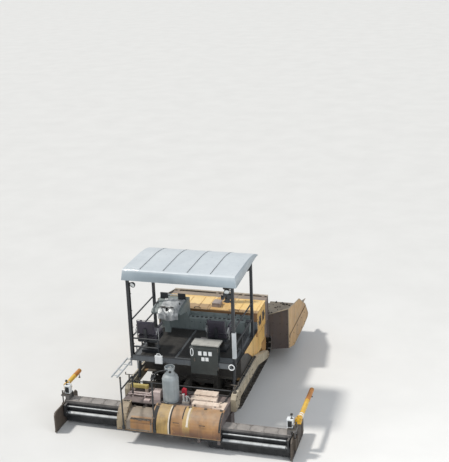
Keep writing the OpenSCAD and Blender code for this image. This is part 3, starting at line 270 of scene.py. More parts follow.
mats = {
    # Moulded shell: smooth and a little glossy, with painted shade in a bluer grey on its sides and rear
    "roof": finishOf("moulded roof white", "#cbd1d4", "#c0c7cb", 0.42, dust=("#b9bdbd", 0.22),
        grime=("#8d989f", 0.16), scale=1.2, coat=0.2, grain=(160, 0.0002), bevel=0.006,
        zones=[(shadedRoofSides, "#9fabb2", "#8f9ca4")]),
    # Sprayed enamel, rubbed bright at its edges
    "darkPaint": finishOf("dark grey enamel", "#2d3136", "#24282c", 0.45, dust=("#6a6660", 0.3),
        grime=("#17181a", 0.4), wear=("#7d7972", 0.5), bevel=0.002),
    # Sprayed enamel, streaked by rain
    "greyPost": finishOf("pale grey enamel", "#c9cdcf", "#b5babd", 0.42, dust=("#8f8b84", 0.25),
        grime=("#595b5c", 0.3), bevel=0.002),
    # Enamel gone pale, brown towards the hopper from hot mix, and red brown on the hood's rear face as
    # painted shade
    "yellow": finishOf("faded yellow enamel", "#e8bc6b", "#dba95a", 0.42, dust=("#c3b296", 0.4),
        grime=("#6b4f2c", 0.35), wear=("#8b7d68", 0.5), coat=0.15, scale=1.8,
        zones=[(hopperEnd, "#857874", "#746866"), (hoodRearShade, "#8a6244", "#9a7048")]),
    # The same enamel bleached by the sun, with a brown band at the rear that is painted shade, partly rust
    "paleYellow": finishOf("sun faded yellow enamel", "#f6d391", "#f0c777", 0.45, dust=("#d8c7a5", 0.3),
        grime=("#a8803e", 0.25), wear=("#9b8a6c", 0.4), coat=0.1, scale=1.4,
        zones=[(lidRearShade, "#7d5740", "#8e6a48"), (hopperEnd, "#7b6e6a", "#685d5a")]),
    # Enamel under tar and dust, with paler panels
    "coverOrange": finishOf("orange enamel under dust", "#ae7d44", "#8b5f38", 0.5, dust=("#aa9b87", 0.6),
        grime=("#4d3320", 0.7), wear=("#8b7d68", 0.6), coat=0.1, scale=2.2,
        zones=[(dustyMiddle, "#857b70", "#6f665d"), (leftEnd, "#9c8c70", "#877a66"),
        (sunFaded, "#cdae62", "#b59751"), (lowRight, "#774a30", "#583624")]),
    # The same with more tar
    "coverBrown": finishOf("orange enamel under tar", "#9c7a4c", "#7b6247", 0.6, dust=("#a09484", 0.5),
        grime=("#3b2c20", 0.6), wear=("#8b7d68", 0.5), scale=2.6),
    # Enamel outside, dark asphalt inside, and painted shade in dark purple grey on the faces that look back
    "wingOut": finishOf("wing enamel", "#c29a61", "#ae8655", 0.5, dust=("#ada18d", 0.45),
        grime=("#574330", 0.45), wear=("#c9b694", 0.8), scale=1.5,
        zones=[(wingRearShade, "#494245", "#3d383b"), (wingInside, "#3a3632", "#2c2927")]),
    # Enamel hidden by baked dust, dull
    "armTan": finishOf("arm enamel under asphalt dust", "#b3a68c", "#978a74", 0.62, dust=("#a39c90", 0.5),
        grime=("#4d463d", 0.5), wear=("#8b8378", 0.6), scale=2.0),
    # Enamel hidden by asphalt dust, rough
    "frameSteel": finishOf("frame enamel under asphalt dust", "#4a4844", "#3a3835", 0.68,
        dust=("#7d766c", 0.5), grime=("#1d1b19", 0.5), wear=("#8d857a", 0.5), scale=2.4,
        grain=(120, 0.0009)),
    # The same, yellow outside the tracks
    "mainFrame": finishOf("main frame enamel under asphalt dust", "#4a4844", "#3a3835", 0.66,
        dust=("#7d766c", 0.5), grime=("#1d1b19", 0.5), wear=("#8d857a", 0.5), scale=2.4,
        grain=(120, 0.0009), zones=[(outsideTrack, "#b98a4b", "#a07741")]),
    # Steel with a crust of asphalt, bright where it rubs
    "tarSteel": finishOf("steel with baked asphalt", "#57524a", "#3b3733", 0.72, 0.35, dust=("#7c756b", 0.45),
        grime=("#161514", 0.6), wear=("#a39c92", 0.7), scale=3.5, grain=(90, 0.0016)),
    # Brown film of asphalt over enamel, with a pale top tube
    "hopperWall": finishOf("hopper wall under dust", "#6d6361", "#5a5250", 0.62, dust=("#8a7f7a", 0.4),
        grime=("#2c2726", 0.5), wear=("#b5a893", 0.6), scale=2.4,
        zones=[(topTube, "#c9bfae", "#b0a592")]),
    # Scoured by the mix: grey, half bright
    "wornSteel": finishOf("steel scoured by mix", "#77716a", "#5b5650", 0.45, 0.75, dust=("#6d665d", 0.35),
        grime=("#1c1a18", 0.5), wear=("#b8b2a8", 0.7), scale=3.0, grain=(140, 0.0007)),
    # Lumps of cold mix, matt and nearly black
    "residue": finishOf("asphalt residue", "#1f1d1b", "#2c2926", 0.78, dust=("#4c4741", 0.3),
        grime=("#0d0c0c", 0.5), scale=4, grain=(70, 0.004), pattern=clotted, bevel=0),
    # Pressed bars under dust
    "plateDark": finishOf("dark tread plate", "#6d7276", "#5f6468", 0.6, 0.15, dust=("#85837f", 0.4),
        grime=("#151515", 0.4), wear=("#8b8780", 0.5), pattern=treadPlate),
    # Ground and plated rods, mirror bright under a little dust
    "chrome": finishOf("hard chrome", "#d9dadb", "#c8c9ca", 0.2, 1.0, dust=("#b7b3ab", 0.22),
        grime=("#6b655c", 0.3), scale=5, grain=(400, 0.00005), bevel=0),
    # Dipped zinc, cloudy grey
    "galvanised": finishOf("galvanised tube", "#c7c9c9", "#b2b5b6", 0.38, 0.8, dust=("#a39e95", 0.3),
        grime=("#5f5b55", 0.35), scale=6, bevel=0),
    # Moulded rubber, grey with dust
    "rubber": finishOf("dusty track rubber", "#2b2a29", "#232221", 0.8, dust=("#6f6a62", 0.55),
        grime=("#121212", 0.4), wear=("#6b665f", 0.5), scale=5, grain=(150, 0.0012)),
    # Moulded, matt, greyed by dust
    "blackPlastic": finishOf("black moulded plastic", "#1d1d1e", "#161617", 0.6, dust=("#5d5953", 0.4),
        bevel=0, scale=6),
    # Embossed cloth-backed vinyl with a soft sheen
    "vinyl": finishOf("seat vinyl", "#322d39", "#27232d", 0.5, dust=("#6b6670", 0.25), grime=("#17151b", 0.3),
        grain=(320, 0.0006), sheen=0.15, bevel=0, scale=5),
    # Moulded, even and satin
    "deskGrey": finishOf("moulded desk grey green", "#8b9594", "#7e8887", 0.5, dust=("#8d8e89", 0.35),
        grime=("#33393a", 0.35), scale=2.2),
    # Sprayed enamel, satin
    "cabinet": finishOf("cabinet enamel", "#28302f", "#1f2625", 0.4, dust=("#5d5f5b", 0.25),
        grime=("#101313", 0.3), wear=("#777770", 0.5), coat=0.2),
    # Sprayed enamel, dusty on top
    "lidGrey": finishOf("pale lid enamel", "#b9b7af", "#a5a49e", 0.5, dust=("#8f8b84", 0.35),
        grime=("#5c5a55", 0.4)),
    # Clean white enamel of plates and boxes
    "blankPlate": finishOf("blank plate white", "#eceeee", "#e1e4e4", 0.35, dust=("#b5b3ad", 0.15),
        grime=("#8f8f8d", 0.15), bevel=0.001),
    # Enamel scuffed to grey
    "bottle": finishOf("bottle enamel grey", "#a3abae", "#8f989b", 0.45, dust=("#a59f96", 0.35),
        grime=("#4f5355", 0.45), wear=("#777370", 0.6), scale=3, coat=0.1),
    # Enamel bleached nearly white
    "paleBox": finishOf("pale box enamel", "#efdccb", "#dfc9b6", 0.5, dust=("#bdb09f", 0.35),
        grime=("#6c5a4b", 0.4), wear=("#8a8076", 0.5), scale=3),
    # Pale enamel under brown dust
    "pinkBox": finishOf("pale enamel under dust", "#dccbc5", "#c3b0aa", 0.5, dust=("#a89a94", 0.4),
        grime=("#5a4c49", 0.5), wear=("#8a8076", 0.5), scale=3),
    # Pressed bars filled with dust
    "deckPlate": finishOf("deck plate under dust", "#6f6765", "#57504f", 0.66, 0.2, dust=("#a3928c", 0.5),
        grime=("#262324", 0.6), wear=("#8d857a", 0.5), scale=2.6, pattern=treadPlate),
    # Pressed bars walked bright
    "palePlate": finishOf("walkway plate worn pale", "#a5a09c", "#8a8582", 0.5, 0.3, dust=("#b7b0a8", 0.5),
        grime=("#4a4644", 0.5), wear=("#d5d0c8", 0.6), scale=2.2, pattern=treadPlate),
    # Rolled plate under asphalt
    "darkSteel": finishOf("section wall under asphalt", "#3b3c3e", "#2d2e30", 0.6, 0.2, dust=("#6d6862", 0.4),
        grime=("#121213", 0.5), wear=("#8b8780", 0.5), scale=2.6),
    # Rolled plate, dark, with a dusty top and a painted highlight along the tops of the guide tubes
    "slideSteel": finishOf("sliding section under asphalt", "#37393c", "#292b2d", 0.55, 0.3,
        dust=("#6d6862", 0.3), grime=("#101112", 0.5), wear=("#9a958c", 0.5), scale=2.6,
        zones=[(walkTop, "#7f7c7a", "#6a6765"), (tubeTopHighlight, "#d6d8d8", "#bfc3c4")]),
    # Rolled plate in a dark purple brown that paints the shade on the gates, under asphalt dust
    "gatePlate": finishOf("end gate in painted shade under dust", "#54493f", "#423a34", 0.6, dust=("#7d746a", 0.5),
        grime=("#1f1a16", 0.6), wear=("#b0a08a", 0.7), scale=2.4,
        zones=[(gateArm, "#e2b440", "#cf9c34")]),
    # Edge rubbed to a pale line
    "armPale": finishOf("arm edge rubbed pale", "#d2c8b2", "#bfb49e", 0.55, dust=("#b5ab9b", 0.4),
        grime=("#5d564b", 0.4), scale=3),
    # Glossy enamel
    "red": finishOf("red enamel", "#d8384b", "#bb2a3c", 0.4, dust=("#8f6a66", 0.2), coat=0.2),
    # Glossy enamel, rubbed at its edges
    "tubeYellow": finishOf("tube enamel yellow", "#e8b93c", "#dba82f", 0.38, dust=("#b09c6d", 0.25),
        grime=("#5d4a20", 0.35), wear=("#9a917d", 0.5), coat=0.2, scale=3),
    # The same gone pale in the sun
    "barYellow": finishOf("bar enamel sun faded", "#d6c476", "#c3af66", 0.5, dust=("#a89c7d", 0.35),
        grime=("#5d4a20", 0.3), scale=3),
    # Orange enamel, streaked brown
    "tubeOrange": finishOf("tube enamel orange", "#d58a35", "#b87430", 0.45, dust=("#92775a", 0.3),
        grime=("#4a2f1a", 0.5), scale=3),
    # Crumpled film with bright creases
    "foil": finishOf("crumpled silver sheet", "#d3d5d5", "#a3a6a8", 0.42, 0.25, dust=("#a5a5a0", 0.2),
        grime=("#6d6f70", 0.35), scale=6, pattern=crumples, bevel=0, grain=(60, 0.002)),
    # Steel browned by heat
    "heatSteel": finishOf("heat blackened steel", "#4a4745", "#383533", 0.6, 0.5, dust=("#77726c", 0.3),
        grime=("#2b211c", 0.5), scale=5),
    # Sand cast, rough and oily
    "castIron": finishOf("engine casting", "#4d4a45", "#3d3a36", 0.65, 0.3, dust=("#746e65", 0.45)),
    # Enamel under brown dust
    "boxMauve": finishOf("box enamel under dust", "#a79a95", "#938782", 0.5, dust=("#9d948c", 0.4),
        grime=("#4f4643", 0.4), wear=("#8a8076", 0.5), scale=3),
    # Pressed lens, pale and glossy
    "lampGlass": finishOf("lamp lens", "#dfe3e2", "#ccd2d2", 0.15, dust=("#a9a69f", 0.25), coat=0.5, bevel=0),
    # Woven webbing, matt
    "strap": finishOf("pale webbing", "#e6dccb", "#d3c7b3", 0.8, dust=("#a39886", 0.3), bevel=0,
        grain=(500, 0.0006)),
    # Joints seen as dark lines
    "seam": finishOf("dark seam", "#26282a", "#1d1f20", 0.7, dust=("#5b5752", 0.3), bevel=0),
}
print("stage: materials", len(mats))


# Angles of a full turn in equal steps
def turnsOf(count, start=0.0):
    return [start + 2 * math.pi * k / count for k in range(count)]


# Points of a circle that faces along an axis, or of an oval when it has its own height
def circle(axis, centre, radius, count, start=0.0, tall=None):
    x, y, z = centre
    points = []
    for a in turnsOf(count, start):
        u = radius * math.cos(a)
        v = (tall or radius) * math.sin(a)
        points.append({"x": (x, y + u, z + v), "y": (x + u, y, z + v), "z": (x + u, y + v, z)}[axis])
    return points


# From one distance to another off the middle, on the left (-1) or the right (1)
def span(side, near, far):
    return tuple(sorted((side * near, side * far)))


# A growing mesh, given in machine millimetres
class Form:
    def __init__(self):
        self.mesh = bmesh.new()

    # Adds vertices and the faces between them
    def absorb(self, verts, faces):
        made = [self.mesh.verts.new(place(*v)) for v in verts]
        return [self.mesh.faces.new([made[i] for i in face]) for face in faces]

    # Rounds the sharp edges of new faces
    def soften(self, faces, width, segments=2):
        if width <= 0:
            return
        edges = {e for f in faces for e in f.edges if len(e.link_faces) == 2}
        sharp = [e for e in edges if e.calc_face_angle(0) > 0.6]
        bmesh.ops.bevel(self.mesh, geom=sharp, offset=width * mm, segments=segments, affect="EDGES",
            profile=0.6, clamp_overlap=True)

    def block(self, x, y, z, soft=3.0):
        verts = [(a, b, c) for c in z for b in y for a in x]
        faces = [(0, 2, 3, 1), (4, 5, 7, 6), (0, 1, 5, 4), (2, 6, 7, 3), (0, 4, 6, 2), (1, 3, 7, 5)]
        self.soften(self.absorb(verts, faces), soft)
        return self

    # An outline pushed along an axis from one end to the other
    def prism(self, axis, ends, outline, soft=2.0):
        area = sum(outline[i - 1][0] * outline[i][1] - outline[i][0] * outline[i - 1][1]
            for i in range(len(outline)))
        points = outline if area > 0 else outline[::-1]
        count = len(points)

        def at(t, p):
            if axis == "x":
                return (t, p[0], p[1])
            if axis == "y":
                return (p[0], t, p[1])
            return (p[0], p[1], t)

        verts = [at(t, p) for t in ends for p in points]
        low = tuple(range(count - 1, -1, -1))
        high = tuple(range(count, 2 * count))
        sides = [(i, (i + 1) % count, count + (i + 1) % count, count + i) for i in range(count)]
        faces = [low, high] + sides
        if axis == "y":
            faces = [tuple(reversed(f)) for f in faces]
        self.soften(self.absorb(verts, faces), soft)
        return self

    # A round bar along a line, with one radius or one for each point
    def tube(self, points, radius, sides=16, closed=False):
        path = [Vector(p) for p in points]
        count = len(path)
        rings = []
        guide = None
        for i, p in enumerate(path):
            before = path[i - 1] if i or closed else p
            after = path[(i + 1) % count] if i < count - 1 or closed else p
            ahead = (after - before).normalized()
            if guide is None:
                guide = ahead.orthogonal().normalized()
            guide = (guide - ahead * guide.dot(ahead)).normalized()
            across = ahead.cross(guide)
            size = radius[i] if isinstance(radius, (list, tuple)) else radius
            rings.append([p + (guide * math.cos(a) + across * math.sin(a)) * size for a in turnsOf(sides)])
        verts = [tuple(v) for ring in rings for v in ring]
        faces = []
        for i in range(count if closed else count - 1):
            j = (i + 1) % count
            for k in range(sides):
                m = (k + 1) % sides
                faces.append((i * sides + k, i * sides + m, j * sides + m, j * sides + k))
        if not closed:
            faces.append(tuple(range(sides - 1, -1, -1)))
            faces.append(tuple((count - 1) * sides + k for k in range(sides)))
        self.absorb(verts, faces)
        return self

    # A straight round bar with chamfered ends
    def rod(self, a, b, radius, sides=24, chamfer=None):
        start = Vector(a)
        end = Vector(b)
        along = (end - start).normalized()
        length = (end - start).length
        cut = min(radius * 0.12, 4, length * 0.2) if chamfer is None else chamfer
        if cut <= 0:
            return self.tube([start, end], radius, sides)
        return self.tube([start, start + along * cut, end - along * cut, end],
            [radius - cut, radius, radius, radius - cut], sides)

    # Pairs of radius and height turned round an axis
    def lathe(self, centre, axis, profile, sides=32):
        direction = {"x": Vector((1, 0, 0)), "y": Vector((0, 1, 0)), "z": Vector((0, 0, 1))}.get(axis, axis)
        direction = Vector(direction).normalized()
        path = [Vector(centre) + direction * p[1] for p in profile]
        guide = direction.orthogonal().normalized()
        across = direction.cross(guide)
        verts = []
        for p, item in zip(path, profile):
            size = max(item[0], 0.01)
            for a in turnsOf(sides):
                verts.append(tuple(p + (guide * math.cos(a) + across * math.sin(a)) * size))
        faces = []
        for i in range(len(profile) - 1):
            for k in range(sides):
                m = (k + 1) % sides
                faces.append((i * sides + k, i * sides + m, (i + 1) * sides + m, (i + 1) * sides + k))
        faces.append(tuple(range(sides - 1, -1, -1)))
        faces.append(tuple((len(profile) - 1) * sides + k for k in range(sides)))
        self.absorb(verts, faces)
        return self

    # Ends the form as one named piece that rides on a body
    def piece(self, name, material, body="tractor", slotName="post_dark", angle=35):
        bmesh.ops.recalc_face_normals(self.mesh, faces=self.mesh.faces)
        data = bpy.data.meshes.new(name)
        self.mesh.to_mesh(data)
        self.mesh.free()
        return dress(data, name, material, body, angle)


def dress(data, name, material, body, angle=35):
    for polygon in data.polygons:
        polygon.use_smooth = True
    data.set_sharp_from_angle(angle=math.radians(angle))
    obj = bpy.data.objects.new(name, data)
    bpy.context.scene.collection.objects.link(obj)
    obj.data.materials.clear()
    obj.data.materials.append(mats[material])
    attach(obj, body)
    return obj


# Geometry Nodes group that repeats a unit mesh on points, each with its own turn and size
def buildRepeater():
    group = bpy.data.node_groups.new("repeat", "GeometryNodeTree")
    group.interface.new_socket("Points", in_out="INPUT", socket_type="NodeSocketGeometry")
    unitSocket = group.interface.new_socket("Unit", in_out="INPUT", socket_type="NodeSocketObject")
    finishSocket = group.interface.new_socket("Finish", in_out="INPUT", socket_type="NodeSocketMaterial")
    group.interface.new_socket("Geometry", in_out="OUTPUT", socket_type="NodeSocketGeometry")
    start = group.nodes.new("NodeGroupInput")
    end = group.nodes.new("NodeGroupOutput")
    info = group.nodes.new("GeometryNodeObjectInfo")
    info.transform_space = "ORIGINAL"
    onPoints = group.nodes.new("GeometryNodeInstanceOnPoints")
    turnOf, sizeOf = [group.nodes.new("GeometryNodeInputNamedAttribute") for _ in range(2)]
    for node, attribute in ((turnOf, "turn"), (sizeOf, "size")):
        node.data_type = "FLOAT_VECTOR"
        node.inputs["Name"].default_value = attribute
    toTurn = group.nodes.new("FunctionNodeEulerToRotation")
    real = group.nodes.new("GeometryNodeRealizeInstances")
    paint = group.nodes.new("GeometryNodeSetMaterial")
    for source, output, target, value in (
            (start, "Points", onPoints, "Points"), (start, "Unit", info, "Object"),
            (info, "Geometry", onPoints, "Instance"), (turnOf, "Attribute", toTurn, "Euler"),
            (toTurn, "Rotation", onPoints, "Rotation"), (sizeOf, "Attribute", onPoints, "Scale"),
            (onPoints, "Instances", real, "Geometry"), (real, "Geometry", paint, "Geometry"),
            (start, "Finish", paint, "Material"), (paint, "Geometry", end, "Geometry")):
        group.links.new(source.outputs[output], target.inputs[value])
    return group, unitSocket.identifier, finishSocket.identifier


# One piece from copies of a unit; a spot is a place with a turn and a size if it needs them
def repeated(name, unitForm, spots, material, body, angle=35):
    bmesh.ops.recalc_face_normals(unitForm.mesh, faces=unitForm.mesh.faces)
    unitData = bpy.data.meshes.new(name + "Unit")
    unitForm.mesh.to_mesh(unitData)
    unitForm.mesh.free()
    unitData.transform(Matrix.Translation((0, midY * mm, 0)))
    unit = bpy.data.objects.new(name + "Unit", unitData)
    bpy.context.scene.collection.objects.link(unit)
    cloud = bpy.data.meshes.new(name + "Spots")
    cloud.from_pydata([place(*s[0]) for s in spots], [], [])
    turns = cloud.attributes.new("turn", "FLOAT_VECTOR", "POINT")
    sizes = cloud.attributes.new("size", "FLOAT_VECTOR", "POINT")
    for i, spot in enumerate(spots):
        turns.data[i].vector = spot[1] if len(spot) > 1 else (0, 0, 0)
        sizes.data[i].vector = spot[2] if len(spot) > 2 else (1, 1, 1)
    holder = bpy.data.objects.new(name + "Spots", cloud)
    bpy.context.scene.collection.objects.link(holder)
    group, unitId, finishId = buildRepeater()
    modifier = holder.modifiers.new("repeat", "NODES")
    modifier.node_group = group
    modifier[unitId] = unit
    modifier[finishId] = mats[material]
    graph = bpy.context.evaluated_depsgraph_get()
    data = bpy.data.meshes.new_from_object(holder.evaluated_get(graph), depsgraph=graph)
    data.name = name
    holder.modifiers.remove(modifier)
    bpy.data.objects.remove(holder)
    bpy.data.objects.remove(unit)
    bpy.data.node_groups.remove(group)
    return dress(data, name, material, body, angle)


# The turn that leads from upright to a direction
def towards(direction):
    return tuple(Vector((0, 0, 1)).rotation_difference(Vector(direction)).to_euler("XYZ"))


def boltForm(radius, height):
    form = Form()
    form.lathe((0, 0, 0), "z", [(radius * 1.5, -1), (radius * 1.5, 2), (radius * 1.45, 2.6)], 16)
    form.lathe((0, 0, 0), "z", [(radius, 1), (radius, height * 0.85), (radius * 0.84, height)], 6)
    return form


# Bolts with washers, each at a place and with a direction
def bolts(name, spots, radius, body="tractor", material="tarSteel", height=None):
    repeated(name, boltForm(radius, height or radius * 0.9), [(p, towards(d)) for p, d in spots],
        material, body)


# Gives CAD nodes their finish
def paint(material, *nodes):
    for name in nodes:
        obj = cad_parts[name]
        obj.data.materials.clear()
        obj.data.materials.append(mats[material])


# A line with its corners cut round
def smoothed(points, rounds=2):
    path = [Vector(p) for p in points]
    for _ in range(rounds):
        cut = [path[0]]
        for a, b in zip(path, path[1:]):
            cut.append(a * 0.75 + b * 0.25)
            cut.append(a * 0.25 + b * 0.75)
        cut.append(path[-1])
        path = cut
    return path


# The line of a bent handle between two ends, from its foot to its grip, each a distance back and a height
def handleLine(x0, x1, foot, grip, rounds=2):
    return smoothed([(x0, *foot), (x0, *grip), (x1, *grip), (x1, *foot)], rounds)


# CAD nodes that keep their shape
paint("frameSteel", "track_frames", "push_beam", "auger_drive", "lower_body")
paint("deckPlate", "screed_frame")
paint("tarSteel", "track_wheels", "push_roller_left", "push_roller_right")
paint("hopperWall", "hopper_wall")
paint("mainFrame", "main_frame")
paint("wornSteel", "hopper_floor", "conveyor", "auger_left", "auger_right")
paint("wingOut", "wing_left", "wing_right")
paint("darkPaint", "wing_barrel_left", "wing_barrel_right", "lift_barrel_left", "lift_barrel_right",
    "canopy_posts", "handrails", "screed_rails", "seat_bases")
paint("chrome", "wing_rod_left", "wing_rod_right", "lift_rod_left", "lift_rod_right")
paint("yellow", "side_covers", "hood_body")
paint("paleYellow", "hood_lid_left", "hood_lid_right")
paint("castIron", "engine")
paint("heatSteel", "exhaust")
paint("plateDark", "platform")
paint("deskGrey", "console")
paint("cabinet", "rear_box")
paint("greyPost", "steps")
paint("armTan", "tow_arms")
paint("coverOrange", "screed_covers")
paint("slideSteel", "extension_left", "extension_right")
paint("gatePlate", "end_gate_left", "end_gate_right")
paint("rubber", "track_left", "track_right")
paint("bottle", "gas_bottle")
paint("paleBox", "deck_boxes")
paint("vinyl", "seat_pads")
paint("roof", "canopy_roof")
print("stage: CAD nodes painted")


# The object with its modifiers made real
def applied(obj):
    graph = bpy.context.evaluated_depsgraph_get()
    data = bpy.data.meshes.new_from_object(obj.evaluated_get(graph), depsgraph=graph)
    obj.modifiers.clear()
    obj.data = data
    return obj


# A smooth line through all its points
def through(points, steps):
    path = []
    for i in range(len(points) - 1):
        before = points[max(i - 1, 0)]
        a, b = points[i], points[i + 1]
        after = points[min(i + 2, len(points) - 1)]
        for k in range(steps):
            t = k / steps
            path.append(tuple(0.5 * (2 * q + (r - p) * t + (2 * p - 5 * q + 4 * r - s) * t * t
                    + (3 * q - p - 3 * r + s) * t ** 3) for p, q, r, s in zip(before, a, b, after)))
    path.append(tuple(points[-1]))
    return path


# Roof: one moulded shell that flares towards its rim, with four seams along it
roofValues = {
    "rim": 1297, "crown": 1268, "skin": 0.014, "round": 46, "seams": (-880, -345, 200, 715),
    "spine": [(-262, 3572), (-226, 3595), (-140, 3599), (400, 3599), (860, 3597), (1210, 3564), (1440, 3514),
        (1612, 3450)],
    "rimLine": [(-289, 3352), (-255, 3352), (-150, 3352), (400, 3384), (860, 3410), (1210, 3430),
        (1440, 3440), (1619, 3424)],
}
spine = through(roofValues["spine"], 4)
rimLine = through(roofValues["rimLine"], 4)
roofForm = Form()
shell = roofForm.mesh
crownRows = [[shell.verts.new(place(x, y, z)) for x in (-roofValues["crown"], 0, roofValues["crown"])]
    for y, z in spine]
rimRows = [[shell.verts.new(place(x, y, z)) for x in (-roofValues["rim"], 0, roofValues["rim"])]
    for y, z in rimLine]
rounded = []
for i in range(len(spine) - 1):
    for k in (0, 1):
        shell.faces.new([crownRows[i][k], crownRows[i][k + 1], crownRows[i + 1][k + 1], crownRows[i + 1][k]])
    for k in (0, 2):
        shell.faces.new([crownRows[i][k], crownRows[i + 1][k], rimRows[i + 1][k], rimRows[i][k]])
        rounded.append((crownRows[i][k], crownRows[i + 1][k]))
for k in (0, 1):
    shell.faces.new([crownRows[0][k], crownRows[0][k + 1], rimRows[0][k + 1], rimRows[0][k]])
    shell.faces.new([crownRows[-1][k], crownRows[-1][k + 1], rimRows[-1][k + 1], rimRows[-1][k]])
    rounded.append((crownRows[-1][k], crownRows[-1][k + 1]))
for k in (0, 2):
    rounded.append((crownRows[0][k], rimRows[0][k]))
bmesh.ops.recalc_face_normals(shell, faces=shell.faces)
bmesh.ops.bevel(shell, geom=[shell.edges.get(pair) for pair in rounded], offset=roofValues["round"] * mm,
    segments=5, affect="EDGES", profile=0.5, clamp_overlap=True)
roofShell = roofForm.piece("roofShell", "roof", "tractor", "canopy_white", angle=60)
thick = roofShell.modifiers.new("thick", "SOLIDIFY")
thick.thickness = roofValues["skin"]
thick.offset = -1
applied(roofShell)
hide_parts("canopy_roof")
seamForm = Form()
beadForm = Form()
seamPath = [p for p in spine if -205 < p[0] < 1600]
for x in roofValues["seams"]:
    for side, lift, half, form in ((0, 1.2, 7, seamForm), (-13, 3.5, 5, beadForm), (13, 3.5, 5, beadForm)):
        for a, b in zip(seamPath, seamPath[1:]):
            verts = [(x + side + s * half, p[0], p[1] + h)
                for p in (a, b) for s in (-1, 1) for h in (-4, lift)]
            form.absorb(verts, [(1, 3, 7, 5), (0, 4, 6, 2), (0, 1, 5, 4), (2, 6, 7, 3)])
for form in (seamForm, beadForm):
    bmesh.ops.remove_doubles(form.mesh, verts=form.mesh.verts, dist=0.0001)
seamForm.piece("roofSeams", "seam")
beadForm.piece("roofBeads", "roof", "tractor", "canopy_white")
roofSpots = [((x, y, 3597), (0, 0, 1)) for x in (-1180, -620, -70, 460, 1180) for y in (-120, 380, 800)]
bolts("roofScrews", roofSpots, 8, "tractor", "greyPost", 5)
print("stage: roof")

# Tracks: one steel shoe with its rubber pads, links and bolts, repeated around each loop, and the hubs
trackValues = {
    "middle": 900, "half": 160, "radius": 375, "pad": 25, "rear": 730, "base": 2560, "count": 48,
    "drive": 150, "idler": 62,
}
pitchRadius = trackValues["radius"] - trackValues["pad"]
loopLength = 2 * trackValues["base"] + 2 * math.pi * pitchRadius
shoePitch = loopLength / trackValues["count"]


# Place and turn of a shoe at a distance along the loop
def shoeSpot(side, s):
    base = trackValues["base"]
    arc = math.pi * pitchRadius
    t = s % loopLength
    if t < base:
        y, z, phi = trackValues["rear"] + t, trackValues["radius"] - pitchRadius, -90
    elif t < base + arc:
        phi = -90 + 180 * (t - base) / arc
        y = trackValues["rear"] + base + pitchRadius * math.cos(math.radians(phi))
        z = trackValues["radius"] + pitchRadius * math.sin(math.radians(phi))
    elif t < 2 * base + arc:
        y, z, phi = trackValues["rear"] + base - (t - base - arc), trackValues["radius"] + pitchRadius, 90
    else:
        phi = 90 + 180 * (t - 2 * base - arc) / arc
        y = trackValues["rear"] + pitchRadius * math.cos(math.radians(phi))
        z = trackValues["radius"] + pitchRadius * math.sin(math.radians(phi))
    return (side * trackValues["middle"], y, z), (math.radians(phi - 90), 0, 0)


# Two rubber pads of one shoe with their bolt heads
def padUnit():
    form = Form()
    length = shoePitch * 0.78 / 2
    half = trackValues["half"]
    for x in ((-half, -6), (6, half)):
        form.block(x, (-length, length), (2, 24.5), 5)
    for x in (-120, -45, 45, 120):
        form.lathe((x, 0, 24.4), "z", [(9, -1), (7.5, 0.3), (6, -0.6), (2, -0.8)], 10)
    return form


# The steel shoe with its links and pin
def linkUnit():
    form = Form()
    half = trackValues["half"]
    form.block((-half + 4, half - 4), (-shoePitch * 0.40, shoePitch * 0.40), (-8, 3), 2)
    for x in (-92, 62):
        form.prism("x", (x, x + 30), [(-70, -34), (-52, -44), (50, -44), (72, -30), (66, -8), (-66, -8)], 3)
    form.rod((-104, 62, -24), (104, 62, -24), 13, 12)
    return form


for side, name in bothSides:
    spots = [shoeSpot(side, (i + 0.39) * shoePitch) for i in range(trackValues["count"])]
    pads = repeated("trackPads_" + name, padUnit(), spots, "rubber", "tractor")
    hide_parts("track_" + name)
    repeated("trackLinks_" + name, linkUnit(), spots, "tarSteel", "tractor")
    hub = Form()
    rear = trackValues["rear"]
    axle = trackValues["radius"]
    front = rear + trackValues["base"]
    for x, y, radius in ((1008, rear, trackValues["drive"]), (985, front, trackValues["idler"])):
        hub.lathe((side * x, y, axle), (side, 0, 0), [(radius - 12, -4), (radius - 12, 8), (radius - 22, 14),
                (radius * 0.5, 15), (radius * 0.45, 26), (8, 27)], 36)
    hub.piece("trackHubs_" + name, "frameSteel", "tractor", "frame_grey")
    bolts("hubBolts_" + name, [(p, (side, 0, 0)) for p in circle("x", (side * 1018, rear, axle), 114, 14)], 9)
    rows = [((side * 1000, 1113 + 372 * i, 185), (side, 0, 0)) for i in range(6)]
    rows += [((side * 1000, 1180 + 340 * i, 430), (side, 0, 0)) for i in range(6)]
    bolts("railBolts_" + name, rows, 10)
print("stage: tracks")

# Engine hood: lids with handles, louvres, door seams, latches, strip box, bay plate and exhaust bands
hoodValues = {
    "top": 1900, "wall": 1192, "covers": 1160, "seam": 3.2,
    "lids": {"left": (-1196, 10), "right": (480, 1196)}, "exhaust": (310, 2330),
}


def groove(form, *points):
    form.tube(points, hoodValues["seam"], 6)


